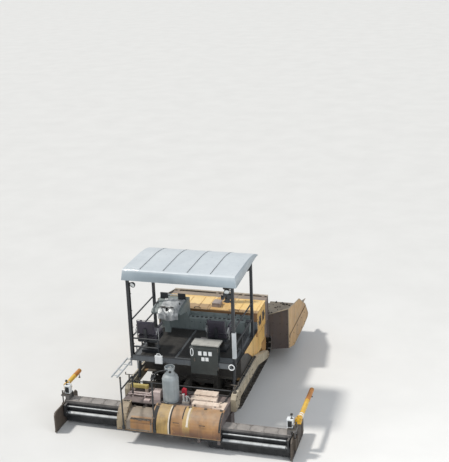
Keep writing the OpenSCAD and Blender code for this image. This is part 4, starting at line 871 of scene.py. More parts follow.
for name, (x0, x1) in hoodValues["lids"].items():
    top = hoodValues["top"]
    lid = Form()
    inset = 64
    ring = [(x0 + inset, 1868), (x1 - inset, 1868), (x1 - inset, 2560), (x0 + inset, 2560)]
    lid.tube([(x, y, top + 1) for x, y in ring], 9, 8, closed=True)
    count = 3 if name == "left" else 2
    for i in range(count):
        x = x0 + (x1 - x0) * (i + 1) / (count + 1)
        lid.tube([(x, 1900, top), (x, 1914, top + 5), (x, 2514, top + 5), (x, 2528, top)], 8, 8)
    lid.tube([(x0, 1786, top - 3), (x1, 1786, top - 3)], 6, 8)
    lid.piece("lidRibs_" + name, "paleYellow", "hood_lid_" + name, "body_yellow")
    handles = Form()
    for x in (x0 + (x1 - x0) * 0.25, x0 + (x1 - x0) * 0.75):
        handles.tube(handleLine(x - 70, x + 70, (1826, top), (1826, top + 34)), 7, 10)
        for s in (-70, 70):
            handles.lathe((x + s, 1826, top), "z", [(15, -1), (15, 4), (11, 6)], 14)
    handles.piece("lidHandles_" + name, "darkPaint", "hood_lid_" + name)
    knobs = [((x, 1812, top), (0, 0, 1)) for x in (x0 + 40, (x0 + x1) / 2, x1 - 40)]
    bolts("lidScrews_" + name, knobs, 9, "hood_lid_" + name, "wornSteel", 6)
stripForm = Form()
stripForm.block((40, 236), (1950, 2190), (1899, 1990), 14)
stripForm.prism("y", (1946, 2194), [(34, 1988), (242, 1988), (242, 1996), (224, 2006), (52, 2006),
        (34, 1996)], 3)
stripForm.piece("stripBox", "boxMauve", "tractor", "body_yellow")
vents = Form()
pipeX, pipeY = hoodValues["exhaust"]
for y in range(2210, 2560, 34):
    if abs(y - pipeY) > 85:
        vents.prism("x", (60, 440), [(y, 1898), (y + 24, 1898), (y + 20, 1912), (y + 13, 1914)], 1)
vents.piece("stripVents", "yellow", "tractor", "body_yellow")
bay = Form()
bay.block((-1182, 1182), (1800, 2788), (1290, 1300), 2)
bay.piece("bayPlate", "tarSteel", "tractor", "frame_grey")
for side, name in bothSides:
    wall = hoodValues["wall"]
    covers = side * hoodValues["covers"]
    x = side * wall
    slats = Form()
    # Dark plates behind the slats: painted shade of the bay behind the louvres
    back = Form()
    for y0 in (1980, 2280):
        back.block(span(side, wall - 12, wall - 8), (y0 - 4, y0 + 184), (1478, 1742), 0)
        for k in range(6):
            z = 1496 + k * 40
            slats.prism("y", (y0, y0 + 180), [(x - side * 8, z + 20), (x - side * 6, z + 23),
                    (x + side * 2, z + 4), (x, z)], 0.6)
    back.piece("louvreBacks_" + name, "seam")
    slats.piece("louvreSlats_" + name, "darkPaint")
    lines = Form()
    for y in (1860, 2215, 2575):
        groove(lines, (x, y, 1330), (x, y, 1870))
    groove(lines, (x, 1860, 1870), (x, 2575, 1870))
    groove(lines, (x, 1860, 1330), (x, 2575, 1330))
    for y in (1500, 2010):
        groove(lines, (covers, y, 860), (covers, y, 1452))
    lines.piece("doorSeams_" + name, "seam")
    trim = Form()
    trim.tube([(covers, y, z) for y, z in ((680, 1452), (742, 1352), (1000, 1240), (1400, 962), (1762, 802),
            (2268, 802), (2268, 912), (2818, 912))], 6, 8)
    for y in (1700, 2560):
        trim.rod((covers, y, 1390), (covers + side * 8, y, 1390), 17, 16)
    trim.piece("coverTrim_" + name, "coverOrange", "tractor", "body_yellow")
    latches = Form()
    for y, z in ((2120, 1600), (2470, 1600), (1930, 1600)):
        latches.block(span(side, wall, wall + 7), (y - 13, y + 13), (z - 44, z + 44), 3)
        latches.rod((x + side * 5, y, z + 8), (x + side * 12, y, z + 8), 10, 14)
    latches.piece("doorLatches_" + name, "darkPaint")
    spots = [((x + side, y, z), (side, 0, 0)) for y in (1815, 2820) for z in (1350, 1480, 1610, 1740, 1860)]
    spots += [((covers, y, z), (side, 0, 0)) for y, z in (
            (760, 1430), (1100, 1430), (1450, 1430), (1760, 1430), (1880, 1280), (2200, 1280), (2520, 1280),
            (2780, 1280), (2780, 960), (2500, 960), (2200, 850), (1850, 850))]
    bolts("panelScrews_" + name, spots, 7, material="wornSteel", height=4)
pipe = Form()
pipe.rod((pipeX, pipeY, 3128), (pipeX, pipeY, 3142), 61, 28)
for z in (2262, 2560, 2884):
    pipe.lathe((pipeX, pipeY, z), "z", [(92, -14), (95, -12), (95, 12), (92, 14)], 36)
pipe.lathe((pipeX, pipeY, 1901), "z", [(96, -1), (96, 6), (72, 9), (66, 40), (60, 42)], 36)
for low, high in zip(circle("z", (pipeX, pipeY, 2300), 92, 12), circle("z", (pipeX, pipeY, 2850), 92, 12)):
    pipe.rod(low, high, 4, 6)
pipe.piece("exhaustBands", "heatSteel", "tractor", "exhaust_steel")
print("stage: hood")

# Hopper: wing edges, ribs, hinge rings, crumbs of mix, rubber seals, the flap's clamps, rings on the push
# rollers and pads on their beam
wingValues = {
    "outer": [(2904, 540), (2904, 1590), (4174, 1350), (4920, 900), (5310, 480), (5250, 400), (4770, 350),
        (3484, 350)],
    "rear": [(705, 838), (705, 1210), (1250, 1420), (1690, 1590)],
    "hinge": (680, 838), "side": 1700, "back": 2904, "crumbs": 90, "crumbSize": 0.03,
}
wingX, wingY = wingValues["side"], wingValues["back"]
hingeX, hingeZ = wingValues["hinge"]


# A share between 0 and 1 that looks random and is the same in each run
def scatter(k, turn, stretch):
    return (math.sin(k * turn) * stretch) % 1


for side, name in bothSides:
    body = "wing_" + name
    rim = Form()
    rim.tube([(side * (wingX - 3), y, z) for y, z in wingValues["outer"]], 10, 8, closed=True)
    rim.tube([(side * x, wingY + 2, z) for x, z in wingValues["rear"]], 10, 8)
    rim.piece("wingRim_" + name, "armTan", body, "body_yellow")
    ribs = Form()
    ribs.prism("x", span(side, wingX - 1, wingX + 16),
        [(2990, 780), (4980, 780), (4950, 850), (2990, 850)], 6)
    ribs.piece("wingRibs_" + name, "wingOut", body, "body_yellow")
    rings = Form()
    for y in range(2960, 4850, 210):
        rings.rod((side * hingeX, y, hingeZ), (side * hingeX, y + 60, hingeZ), 28, 20, 3)
    rings.piece("wingHinge_" + name, "tarSteel", body, "steel_worn")
    spots = [((side * wingX, y, z), (side, 0, 0)) for y in (2960, 3480, 3960, 4440, 4820)
        for z in (600 if y < 3000 else 430, 700)]
    spots += [((side * x, wingY, z), (0, -1, 0)) for x in (1300, 1480, 1650) for z in (620, 900, 1180, 1380)]
    bolts("wingBolts_" + name, spots, 11, body)
    clods = Form()
    bmesh.ops.create_icosphere(clods.mesh, subdivisions=2, radius=wingValues["crumbSize"])
    for vert in clods.mesh.verts:
        vert.co *= 1 + 0.35 * noise.noise(vert.co * 40 + Vector((side, 3, 1)))
        vert.co.y -= midY * mm
    spots = []
    for k in range(wingValues["crumbs"]):
        v = scatter(k, 12.9898, 43758.5453)
        w = scatter(k, 78.233, 12543.87)
        s = 0.35 + 1.1 * scatter(k, 39.43, 9137.1)
        spot = (side * (760 + 640 * v), 2950 + 2050 * w, hingeZ + 8)
        spots.append((spot, (v * 6, w * 6, s), (s, s, s * 0.6)))
    repeated("wingClods_" + name, clods, spots, "residue", body)
seals = Form()
for side in (-1, 1):
    seals.prism("y", (2912, 4900), [(side * x, z) for x, z in ((606, 817), (636, 817), (712, 803), (712, 797),
            (606, 803))], 0)
seals.piece("hopperSeals", "rubber", "tractor", "rubber")
flapForm = Form()
for x in range(-900, 901, 150):
    flapForm.block((x - 30, x + 30), (4921, 4927), (748, 792), 2)
flapForm.piece("flapClamps", "wornSteel", "tractor", "steel_worn")
spots = [((x, 4921, 830), (0, 1, 0)) for x in range(-560, 561, 140)]
spots += [((x, 2852, z), (0, -1, 0)) for x in (-1120, -720, 720, 1120) for z in (900, 1150)]
spots += [((s * 630, y, 560), (s, 0, 0)) for s in (-1, 1) for y in range(520, 4860, 310)]
bolts("hopperBolts", spots, 12)
pushValues = {"roller": (5480, 500), "pads": (-600, -300, 300, 600)}
pushY, pushZ = pushValues["roller"]
for side, name in bothSides:
    rings = Form()
    for x in (66, 684):
        rings.lathe((side * x, pushY, pushZ), "x", [(82, -3), (85, -1), (85, 1), (82, 3)], 36)
    for x in (130, 300, 450, 620):
        rings.lathe((side * x, pushY, pushZ), "x", [(84.5, -7), (86.4, -5), (86.4, 5), (84.5, 7)], 36)
    rings.piece("rollerRings_" + name, "wornSteel", "push_roller_" + name, "steel_worn")
beamForm = Form()
for x in pushValues["pads"]:
    beamForm.block((x - 40, x + 40), (5218, 5226), (440, 560), 4)
beamForm.lathe((0, 5175, 590), "z", [(40, -4), (40, 6), (34, 9), (12, 9), (12, 24), (8, 26)], 28)
beamForm.piece("beamPads", "tarSteel", "push_beam", "frame_grey")
spots = [((x, 5222, z), (0, -1, 0)) for x in pushValues["pads"] for z in (460, 540)]
spots += [((x, 5310, z), (0, 1, 0)) for x in (-700, 700) for z in (450, 550)]
bolts("beamBolts", spots, 12, "push_beam")
print("stage: hopper")

# Canopy posts: foot plates, brackets, lamps, signals, conduits, pale sleeve, rail flanges and guard rail
postValues = {"x": 1190, "rear": -200, "front": 1340, "floor": 1500}
postX, floorZ = postValues["x"], postValues["floor"]
feet = Form()
footSpots = []
for s in (-1, 1):
    for y in (postValues["rear"], postValues["front"]):
        x = s * postX
        feet.block(span(s, postX - 62, postX + 8), (y - 62, y + 62), (floorZ, floorZ + 12), 2)
        for t in (-1, 1):
            feet.prism("y", (y + t * 34 - 4, y + t * 34 + 4),
                [(x - s * 30, floorZ + 12), (x - s * 60, floorZ + 12), (x - s * 30, floorZ + 100)], 1)
            footSpots.append(((x - s * 46, y + t * 50, floorZ + 12), (0, 0, 1)))
        feet.block((x - 37, x + 37), (y - 37, y + 37), (3400, 3424), 4)
        feet.prism("x", (x - 4, x + 4), [(y + 30, 3290), (y + 30, 3460), (y + 190, 3460)], 1)
feet.piece("postFeet", "darkPaint")
bolts("footBolts", footSpots, 10)
sleeve = Form()
sleeve.block((1153, 1231), (-243, -163), (1690, 2290), 12)
sleeve.tube(smoothed([(1192, -246, 1760), (1192, -290, 1780), (1192, -290, 2190), (1192, -246, 2210)]), 8, 10)
sleeve.piece("postSleeve", "greyPost", "tractor", "canopy_white")
for name, x, y, z, aim in (("rearRight", 1070, -215, 3225, (0.25, -1, -0.35)),
        ("rearLeft", -1070, -215, 3225, (-0.25, -1, -0.35)),
        ("frontRight", 1090, 1370, 3170, (0.1, 1, -0.3)),
        ("frontLeft", -1090, 1370, 3170, (-0.1, 1, -0.3))):
    lamp = Form()
    back = Vector((x, y, z)) - Vector(aim).normalized() * 58
    lamp.lathe(back, aim, [(20, 0), (46, 8), (62, 34), (66, 58), (66, 66), (60, 66), (58, 60)], 26)
    s = 1 if x > 0 else -1
    lamp.rod((x, y, z + 50), (s * 1165, y - 2 * (1 if y > 0 else -1), z + 50), 9, 12)
    lamp.rod((x, y, z + 50), (x, y, z), 9, 12)
    lamp.piece("workLamp_" + name, "darkPaint")
    glass = Form()
    glass.lathe((x, y, z), aim, [(57, 0), (54, 6), (40, 10), (12, 12)], 26)
    glass.piece("workLens_" + name, "lampGlass", "tractor", "canopy_white")
cluster = Form()
for dx, dz, size in ((0, 0, 46), (-92, 30, 38), (-40, -92, 40), (-150, -40, 30)):
    x, z = 1120 + dx, 3120 + dz
    cluster.block((x - size, x + size), (-232, -150), (z - size, z + size), 12)
cluster.rod((930, -190, 3120), (1160, -190, 3120), 12, 14)
cluster.piece("signalCluster", "darkPaint")
for side, name in bothSides:
    conduit = Form()
    x = side * 1150
    conduit.rod((x, -176, floorZ + 12), (x, -176, 3260), 9, 12)
    for z in (3000, 2600, 2200, 1800, 1560):
        conduit.block((x - 16, x + 16), (-190, -162), (z - 8, z + 8), 3)
    conduit.piece("postConduit_" + name, "blackPlastic", "tractor", "rubber")
rails = Form()
for s in (-1, 1):
    for z in (1950, 2350):
        for y in (-168, 1308):
            rails.lathe((s * postX, y, z), "y", [(26, -2), (28, 0), (28, 6), (24, 8)], 18)
    rails.tube(smoothed([(s * postX, 420, 1950), (s * postX, 420, 1700), (s * postX, 420, 1500)], 1), 15, 14)
for x in (-1158, -562):
    for z in (1750, 1950):
        rails.lathe((x, -200, z), "x", [(22, -6), (24, -4), (24, 4), (22, 6)], 18)
rails.piece("railFlanges", "darkPaint")
guardRail = Form()
for k in range(3):
    x = 1152 - 24 * k
    bend = [(x, 1250 - 60 * k, 1950), (x, 1180 - 60 * k, 1780), (x, 960 - 70 * k, 1650),
        (x, 600 - 70 * k, 1605), (x, 300 - 40 * k, 1660), (x, 170 - 30 * k, 1790), (x, 130 - 30 * k, 1950)]
    guardRail.tube(through(bend, 7), 13, 12)
guardRail.block((1085, 1180), (118, 138), (1938, 1962), 4)
guardRail.block((1085, 1180), (1126, 1254), (1938, 1962), 4)
guardRail.piece("bentGuardRail", "darkPaint")
print("stage: canopy posts")

# Platform: mats, edge strips, a storage bin, and the white box and ring at its rear edge
deckForm = Form()
for x0, x1, y0, y1 in ((-1040, -240, -260, 1420), (-180, 420, -40, 1420), (480, 1080, 150, 1420)):
    deckForm.block((x0, x1), (y0, y1), (floorZ - 1, floorZ + 8), 3)
deckForm.piece("deckMats", "blackPlastic", "tractor", "rubber")
edges = Form()
for s in (-1, 1):
    edges.prism("y", (-300, 1770), [(s * 1200, 1455), (s * 1200, floorZ + 6), (s * 1150, floorZ + 6),
            (s * 1150, floorZ), (s * 1194, floorZ), (s * 1194, 1455)], 1)
edges.prism("x", (-1136, 1136), [(-310, 1590), (-318, 1590), (-318, 1604), (-292, 1604), (-292, 1590)], 2)
for x in range(-1100, 1101, 220):
    edges.prism("x", (x - 4, x + 4), [(-297, floorZ), (-240, floorZ), (-297, floorZ + 70)], 0.5)
edges.piece("deckEdges", "darkPaint")
spots = [((s * 1175, y, 1506), (0, 0, 1)) for s in (-1, 1) for y in range(-40, 1301, 220)]
spots += [((x, -310, 1480), (0, -1, 0)) for x in range(-1080, 1081, 240)]
bolts("deckBolts", spots, 8, material="wornSteel", height=5)
whiteBox = Form()
whiteBox.block((-600, -430), (-352, -313), (1450, 1640), 8)
whiteBox.block((-592, -438), (-358, -350), (1458, 1632), 5)
whiteBox.tube(handleLine(-560, -470, (-332, 1640), (-332, 1684)), 7, 10)
whiteBox.piece("whiteBox", "blankPlate", "tractor", "canopy_white")
hanger = Form()
hanger.tube(circle("y", (1150, -326, 1520), 62, 24), 12, 10, closed=True)
hanger.rod((1150, -312, 1582), (1150, -338, 1582), 9, 12)
hanger.piece("whiteRing", "blankPlate", "tractor", "canopy_white")
store = Form()
store.prism("x", (180, 420), [(380, 1508), (640, 1508), (640, 1700), (610, 1730), (400, 1720),
        (380, 1690)], 10)
store.tube(handleLine(240, 360, (420, 1720), (420, 1760)), 6, 10)
store.piece("toolBin", "boxMauve", "tractor", "body_yellow")
print("stage: platform")

# Rear cabinet: rounded lid, door, hinges, five blank plates and an oval handle
cabinetValues = {"x": (280, 870), "rear": -340, "z": (1400, 1990),
    "upper": ((450, 1800), (570, 1803), (682, 1806)), "lower": ((516, 1665), (606, 1668))}
cx0, cx1 = cabinetValues["x"]
cz0, cz1 = cabinetValues["z"]
cy = cabinetValues["rear"]
lid = Form()
lid.prism("x", (cx0 - 12, cx1 + 12), [(-58, cz1 - 4), (-58, cz1 + 30), (-70, cz1 + 38), (cy + 2, cz1 + 38),
        (cy - 16, cz1 + 26), (cy - 16, cz1 - 4)], 7)
lid.piece("cabinetLid", "lidGrey")
door = Form()
door.block((cx0 + 16, cx1 - 16), (cy - 5, cy + 4), (cz0 + 20, cz1 - 22), 4)
door.piece("cabinetDoor", "cabinet")
plates = Form()
for row, wide, tall in (("upper", 39, 48), ("lower", 36, 43)):
    for x, z in cabinetValues[row]:
        plates.block((x - wide, x + wide), (cy - 8, cy - 3), (z - tall, z + tall), 2)
plates.piece("blankPlates", "blankPlate", "tractor", "canopy_white")
handle = Form()
handle.tube(circle("y", (cx0 - 10, cy - 12, 1815), 30, 26, tall=86), 9, 10, closed=True)
handle.rod((cx0 + 16, cy - 12, 1815), (cx0 + 16, cy + 6, 1815), 8, 12)
handle.piece("cabinetHandle", "blankPlate", "tractor", "canopy_white")
hinges = Form()
for z in (1480, 1900):
    hinges.rod((cx1 - 10, cy - 8, z - 34), (cx1 - 10, cy - 8, z + 34), 8, 14)
hinges.block((cx0 + 30, cx0 + 60), (cy - 12, cy - 4), (1600, 1680), 4)
hinges.piece("cabinetHinges", "wornSteel")
spots = [((x + s * 30, cy - 8, z + t * 38), (0, -1, 0)) for x, z in cabinetValues["upper"]
    for s in (-1, 1) for t in (-1, 1)]
bolts("plateScrews", spots, 3.5, material="galvanised", height=3)
print("stage: cabinet")

# Operator's desks: dash panels, screens, levers, wheel rim, rod and crumpled cover. Slope in y and z.
deskValues = {"rear": (940, 2110), "knee": (1000, 2156), "front": (1670, 2236)}
desk = Form()
desk.prism("x", (-1128, -424), [(950, 2112), deskValues["knee"], deskValues["front"], (1670, 2226),
        (1004, 2142), (962, 2104)], 2)
for x in (-1080, -860, -640):
    desk.tube(smoothed([(x, 1600, 2222), (x, 1640, 2232), (x + 60, 1662, 2232)], 1), 6, 8)
desk.piece("deskTop", "deskGrey")
dashParts = ((-360, -60), (-20, 300), (340, 660), (700, 1020))
panel = Form()
panel.prism("x", (-400, 1060), [(1476, 1560), (1476, 1776), (1500, 1800), (1650, 1800), (1650, 1784),
        (1480, 1770)], 4)
panel.block((-380, 1040), (1640, 1664), (1798, 1862), 5)
for x0, x1 in dashParts:
    panel.block((x0, x1), (1468, 1480), (1530, 1740), 6)
panel.piece("dashPanels", "deskGrey")
dashTrim = Form()
for x0, x1 in dashParts:
    for x in (x0 + 40, x1 - 40):
        dashTrim.rod((x, 1469, 1700), (x, 1462, 1700), 10, 14)
for x in range(-340, 1000, 110):
    dashTrim.block((x, x + 56), (1520, 1580), (1797, 1806), 3)
dashTrim.piece("dashTrim", "seam")
screens = Form()
for x in (-1000, -560):
    screens.prism("x", (x - 90, x + 90), [(1500, 2215), (1560, 2215), (1530, 2370), (1514, 2374),
            (1500, 2366)], 6)
screens.rod((-1000, 1535, 2210), (-1000, 1535, 2260), 14, 12)
screens.piece("deskScreens", "darkPaint")
levers = Form()
knobs = Form()
for x, y, z, lean in ((-1060, 1080, 2160, 20), (-980, 1090, 2162, -14), (-500, 1120, 2166, 24),
        (760, 1560, 1800, -20), (860, 1560, 1800, 12), (560, 1560, 1800, 6)):
    levers.tube([(x, y, z), (x + lean * 0.4, y - 6, z + 60), (x + lean, y - 18, z + 110)], 6, 10)
    knobs.lathe((x + lean, y - 18, z + 106), "z", [(8, 0), (17, 8), (20, 20), (15, 32), (6, 37)], 18)
levers.piece("leverRods", "galvanised", "tractor", "steel_worn")
knobs.piece("leverKnobs", "blackPlastic")
wheelRim = Form()
centre = Vector((-760, 985, 2178))
tilt = Matrix.Rotation(math.radians(-20), 3, "X")
wheelRim.tube([centre + tilt @ Vector(p) for p in circle("z", (0, 0, 46), 150, 30)], 12, 10, closed=True)
for a in (0.5, 2.6, 4.7):
    tip = centre + tilt @ Vector((148 * math.cos(a), 148 * math.sin(a), 46))
    wheelRim.rod(centre + tilt @ Vector((0, 0, 24)), tip, 9, 10)
wheelRim.rod(centre - Vector((0, 0, 40)), centre + tilt @ Vector((0, 0, 36)), 26, 18)
wheelRim.piece("steeringRim", "blackPlastic")
rodForm = Form()
rodForm.rod((-1130, 1668, 2262), (-540, 1668, 2262), 17, 18)
for x in (-1040, -620):
    rodForm.rod((x, 1668, 2225), (x, 1668, 2262), 12, 14)
rodForm.piece("deskRod", "greyPost", "tractor", "canopy_white")

coverValues = {"x0": -960, "x1": -470, "rear": 940, "front": 1500, "drop": 170, "lift": 9, "flatWidth": 0.56}


# Height of the sloping desk top
def deskHeight(y):
    ends = ("rear", "knee") if y < deskValues["knee"][0] else ("knee", "front")
    (y0, z0), (y1, z1) = [deskValues[end] for end in ends]
    return z0 + (y - y0) * (z1 - z0) / (y1 - y0)


sheetForm = Form()
rowsU, rowsV = 46, 62
grid = []
wide = coverValues["x1"] - coverValues["x0"]
deskRear = coverValues["rear"]
deep = coverValues["front"] - deskRear
total = deep + coverValues["drop"]
for j in range(rowsV + 1):
    line = []
    for i in range(rowsU + 1):
        u, v = i / rowsU, j / rowsV
        s = v * total
        x = coverValues["x0"] + u * wide
        # Swells up to 15 mm high, sharp folds up to 22 mm and fine creases up to 4 mm
        ruffle = noise.noise(Vector((x * 0.011, s * 0.011, 0.3))) * 15
        ruffle += abs(noise.noise(Vector((x * 0.028, s * 0.024, 4.1)))) * 22
        ruffle += noise.noise(Vector((x * 0.07, s * 0.07, 9.0))) * 4
        if s < deep:
            y = coverValues["front"] - s
            z = deskHeight(y) + coverValues["lift"] + max(ruffle, -5)
        else:
            # Past the rear edge it bends down within 40 mm and hangs in waves
            hang = s - deep
            bend = min(hang / 40, 1)
            y = deskRear - 26 * bend - abs(ruffle) * 0.9 * bend - 9 * math.sin(u * 19) * bend
            z = deskHeight(deskRear) + coverValues["lift"] * (1 - bend) + max(ruffle, -5) * (1 - bend) - hang
            z += 20 * math.sin(u * 7.0 + 1.0) * bend
        x += 14 * noise.noise(Vector((u * 3, v * 3, 2.2))) + 10 * (v - 0.5) * math.sin(u * 6.3)
        line.append(sheetForm.mesh.verts.new(place(x, y, z)))
    grid.append(line)
for j in range(rowsV):
    for i in range(rowsU):
        sheetForm.mesh.faces.new([grid[j][i], grid[j][i + 1], grid[j + 1][i + 1], grid[j + 1][i]])
foil = sheetForm.piece("deskCover", "foil", "tractor", "canopy_white", angle=70)
thickFoil = foil.modifiers.new("thick", "SOLIDIFY")
thickFoil.thickness = 0.0015
applied(foil)
print("stage: desks")

# Screed covers: straps, joints, hems, hinges and handles on one curved shell, and the grip of its step
screedValues = {"edge": -1000, "rear": -1385, "low": 460, "hem": 340, "top": 832, "leftTop": 720, "deck": 820,
    "parts": ((-1165, -950, "top"), (-950, -370, "leftTop"), (-370, 1165, "top"))}
coverTop, coverRear, hemZ, deckZ = (screedValues[key] for key in ("top", "rear", "hem", "deck"))


# Points down the curved cover, over a share of its quarter turn
def coverLine(top, share=(0.0, 1.0), out=0.0, hem=True):
    deep = screedValues["edge"] - screedValues["rear"]
    points = []
    for k in range(13):
        a = math.pi / 2 * (share[0] + (share[1] - share[0]) * k / 12)
        points.append((screedValues["edge"] - (deep + out) * math.sin(a),
                screedValues["low"] + (top - screedValues["low"] + out) * math.cos(a)))
    if hem:
        points.append((screedValues["rear"] - out, screedValues["hem"] + 4))
    return points


# A thin band that follows the cover
def ribbon(form, x0, x1, top, low, high, share=(0.0, 1.0), hem=True):
    form.prism("x", (x0, x1), coverLine(top, share, low, hem) + coverLine(top, share, high, hem)[::-1], 0)


straps = Form()
ribbon(straps, -2, 26, coverTop, 0.5, 4, (0.02, 1.0))
ribbon(straps, 402, 446, coverTop, 0.5, 5, (0.04, 0.82), False)
straps.block((398, 450), (-1372, -1352), (560, 590), 4)
straps.piece("coverStraps", "strap", "screed", "canopy_white")
splits = Form()
for x0, x1, share in ((30, 60, (0.0, 1.0)), (-342, -262, (0.1, 1.0)), (300, 322, (0.0, 0.55)),
        (1120, 1160, (0.1, 0.9))):
    ribbon(splits, x0, x1, coverTop, 0.4, 2.4, share, share[1] == 1.0)
splits.piece("coverSplits", "seam", "screed")
hems = Form()
hinges = Form()
handles = Form()
coverSpots = []
for x0, x1, level in screedValues["parts"]:
    top = screedValues[level]
    hems.tube([(x0 + 3, coverRear - 6, hemZ + 6), (x1 - 3, coverRear - 6, hemZ + 6)], 7, 10)
    for k in range(2 + int((x1 - x0) / 420)):
        x = x0 + 70 + k * (x1 - x0 - 140) / (1 + int((x1 - x0) / 420))
        hinges.rod((x - 34, -996, top + 7), (x + 34, -996, top + 7), 8, 12)
        hinges.block((x - 30, x + 30), (-1040, -996), (top - 1, top + 3), 1)
        coverSpots.append(((x, coverRear, hemZ + 32), (0, -1, 0)))
    for x in (x0 + 14, x1 - 14):
        for share in (0.12, 0.36, 0.6, 0.84):
            a = math.pi / 2 * share
            y, z = coverLine(top, (share, share))[0]
            coverSpots.append(((x, y, z), (0, -math.sin(a), math.cos(a))))
for x in (-620, 180, 760):
    y, z = coverLine(screedValues["leftTop"] if x < -370 else coverTop, (0.72, 0.72))[0]
    handles.tube(handleLine(x - 60, x + 60, (y + 4, z), (y - 30, z + 22)), 7, 10)
hems.piece("coverHems", "coverBrown", "screed", "body_yellow")
hinges.piece("coverHinges", "wornSteel", "screed", "steel_worn")
handles.piece("coverHandles", "darkPaint", "screed")
bolts("coverScrews", coverSpots, 8, "screed", material="wornSteel", height=5)
stepTop = Form()
stepTop.block((-846, -404), (-1382, -1312), (609, 615), 2)
for y in range(-1372, -1316, 12):
    stepTop.block((-836, -414), (y, y + 5), (614, 619), 1)
stepTop.piece("stepGrip", "wornSteel", "screed", "steel_worn")
print("stage: covers")

# Bottle: ring guard with hand holes painted as dark discs of shade, foot ring, weld bead, valve with a hand
# wheel, and its bent gas pipe
bottleValues = {"x": -110, "y": -760, "r": 180}
bx, by, br = (bottleValues[key] for key in ("x", "y", "r"))
bz = deckZ
guard = Form()
guard.tube(circle("z", (bx, by, bz + 801), 107, 32), 8, 10, closed=True)
guard.tube(circle("z", (bx, by, bz + 16), 172, 32), 9, 10, closed=True)
for z in (300, 306):
    guard.tube(circle("z", (bx, by, bz + z), br + 0.5, 36), 3, 8, closed=True)
guard.piece("bottleRings", "bottle", "screed", "steel_worn")
# Hand holes: dark discs, painted shade where no hole is cut
holeShades = Form()
for a in (-2.3, -1.2, -0.1, 1.0, 2.1):
    side = Vector((math.cos(a), math.sin(a), 0))
    holeShades.lathe(Vector((bx, by, bz + 728)) + side * 108, tuple(side), [(30, 0), (30, 3.5)], 20)
holeShades.piece("bottleHoles", "seam", "screed")
valve = Form()
valve.lathe((bx, by, bz + 665), "z", [(26, 0), (26, 30), (17, 36), (17, 70), (24, 74), (24, 92), (12, 96),
        (12, 118)], 20)
valve.tube(circle("z", (bx, by, bz + 778), 40, 20), 8, 8, closed=True)
valve.rod((bx - 40, by, bz + 778), (bx + 40, by, bz + 778), 6, 8)
valve.rod((bx, by - 20, bz + 745), (bx, by - 84, bz + 745), 15, 14)
valve.piece("bottleValve", "galvanised", "screed", "steel_worn")
gasPipe = Form()
gasPipe.tube(through([(bx, by - 84, bz + 745), (bx - 50, by - 122, bz + 770), (-232, -808, bz + 722),
        (-340, -810, bz + 690), (-470, -806, bz + 610), (-536, -800, bz + 480),
        (-540, -790, bz + 300), (-500, -780, bz + 190), (-440, -780, bz + 150)], 6), 13, 12)
gasPipe.lathe((-440, -780, bz + 150), (0.85, 0, -0.5), [(20, -12), (22, -8), (22, 16), (17, 22)], 6)
gasPipe.piece("gasPipe", "darkPaint", "screed", "steel_worn")
print("stage: bottle")

# Screed deck: boxes with lids, gas pipes, front rail, yellow bar, tray, valves, conduits and post clamps
burners = Form()
burners.block((-480, -330), (-860, -700), (deckZ + 2, 1010), 10)
burners.prism("x", (-486, -324), [(-866, 1008), (-694, 1008), (-694, 1030), (-720, 1044), (-840, 1044),
        (-866, 1030)], 4)
burners.block((-300, -210), (-600, -470), (deckZ + 2, 980), 8)
burners.block((-640, -500), (-700, -560), (deckZ + 2, 900), 8)
burners.block((-690, -560), (-940, -860), (deckZ + 2, 850), 6)
burners.piece("burnerBoxes", "pinkBox", "screed", "canopy_white")
pipes = Form()
for k in range(4):
    y = -640 - 42 * k
    z = 856 + 18 * (k % 2)
    pipes.tube(smoothed([(-1110, y, z), (-640, y, z), (-520, y + 10, z + 8), (-480, -720, z + 12)]), 12, 12)
    for x in (-1060, -840, -640):
        pipes.lathe((x, y, z), "x", [(17, -9), (20, -6), (20, 6), (17, 9)], 6)
for x in (-1000, -720):
    pipes.block((x - 14, x + 14), (-790, -620), (deckZ, deckZ + 26), 3)
pipes.piece("gasPipes", "pinkBox", "screed", "steel_worn")
frontRail = Form()
frontRail.rod((-1120, -330, 950), (1120, -330, 950), 15, 16)
for x in (-1100, -620, -120, 380, 800, 1100):
    frontRail.rod((x, -330, deckZ - 2), (x, -330, 950), 12, 14)
    frontRail.lathe((x, -330, deckZ), "z", [(26, -1), (26, 5), (16, 8)], 16)
frontRail.piece("deckRail", "darkPaint", "screed")
yellowBar = Form()
yellowBar.block((-1133, -737), (-524, -456), (897, 974), 8)
for x in (-1100, -770):
    yellowBar.block((x - 20, x + 20), (-530, -450), (892, 978), 3)
yellowBar.piece("yellowBar", "barYellow", "screed", "body_yellow")
redBox = Form()
redBox.block((64, 156), (-566, -474), (deckZ + 2, 986), 9)
redBox.tube(handleLine(84, 136, (-520, 984), (-520, 1016)), 7, 10)
redBox.piece("redBox", "red", "screed", "canopy_white")
boxLids = Form()
clasps = Form()
for x0, x1, y0, y1, top in ((360, 860, -600, -400, 930), (340, 900, -780, -630, 910),
        (420, 1010, -950, -810, 890)):
    boxLids.block((x0 - 6, x1 + 6), (y0 - 6, y1 + 6), (top - 12, top + 10), 4)
    for t in (0.25, 0.5, 0.75):
        x = x0 + (x1 - x0) * t
        boxLids.block((x - 12, x + 12), (y0 - 9, y1 + 9), (top + 8, top + 16), 3)
    for x in (x0 + 70, x1 - 70):
        clasps.block((x - 16, x + 16), (y0 - 12, y0 - 5), (top - 44, top - 4), 3)
        clasps.tube(handleLine(x - 40, x + 40, (y0 - 3, top - 60), (y0 - 20, top - 66), 1), 4, 8)
boxLids.piece("boxLids", "paleBox", "screed", "canopy_white")
clasps.piece("boxClasps", "seam", "screed")
tray = Form()
tray.prism("y", (-980, -960), [(880, deckZ + 2), (1080, deckZ + 2), (1080, 868), (880, 868)], 4)
tray.prism("z", (deckZ + 2, deckZ + 14), [(880, -980), (1130, -980), (1130, -640), (930, -640), (930, -800),
        (880, -800)], 3)
tray.piece("deckTray", "paleBox", "screed", "canopy_white")
valveBlock = Form()
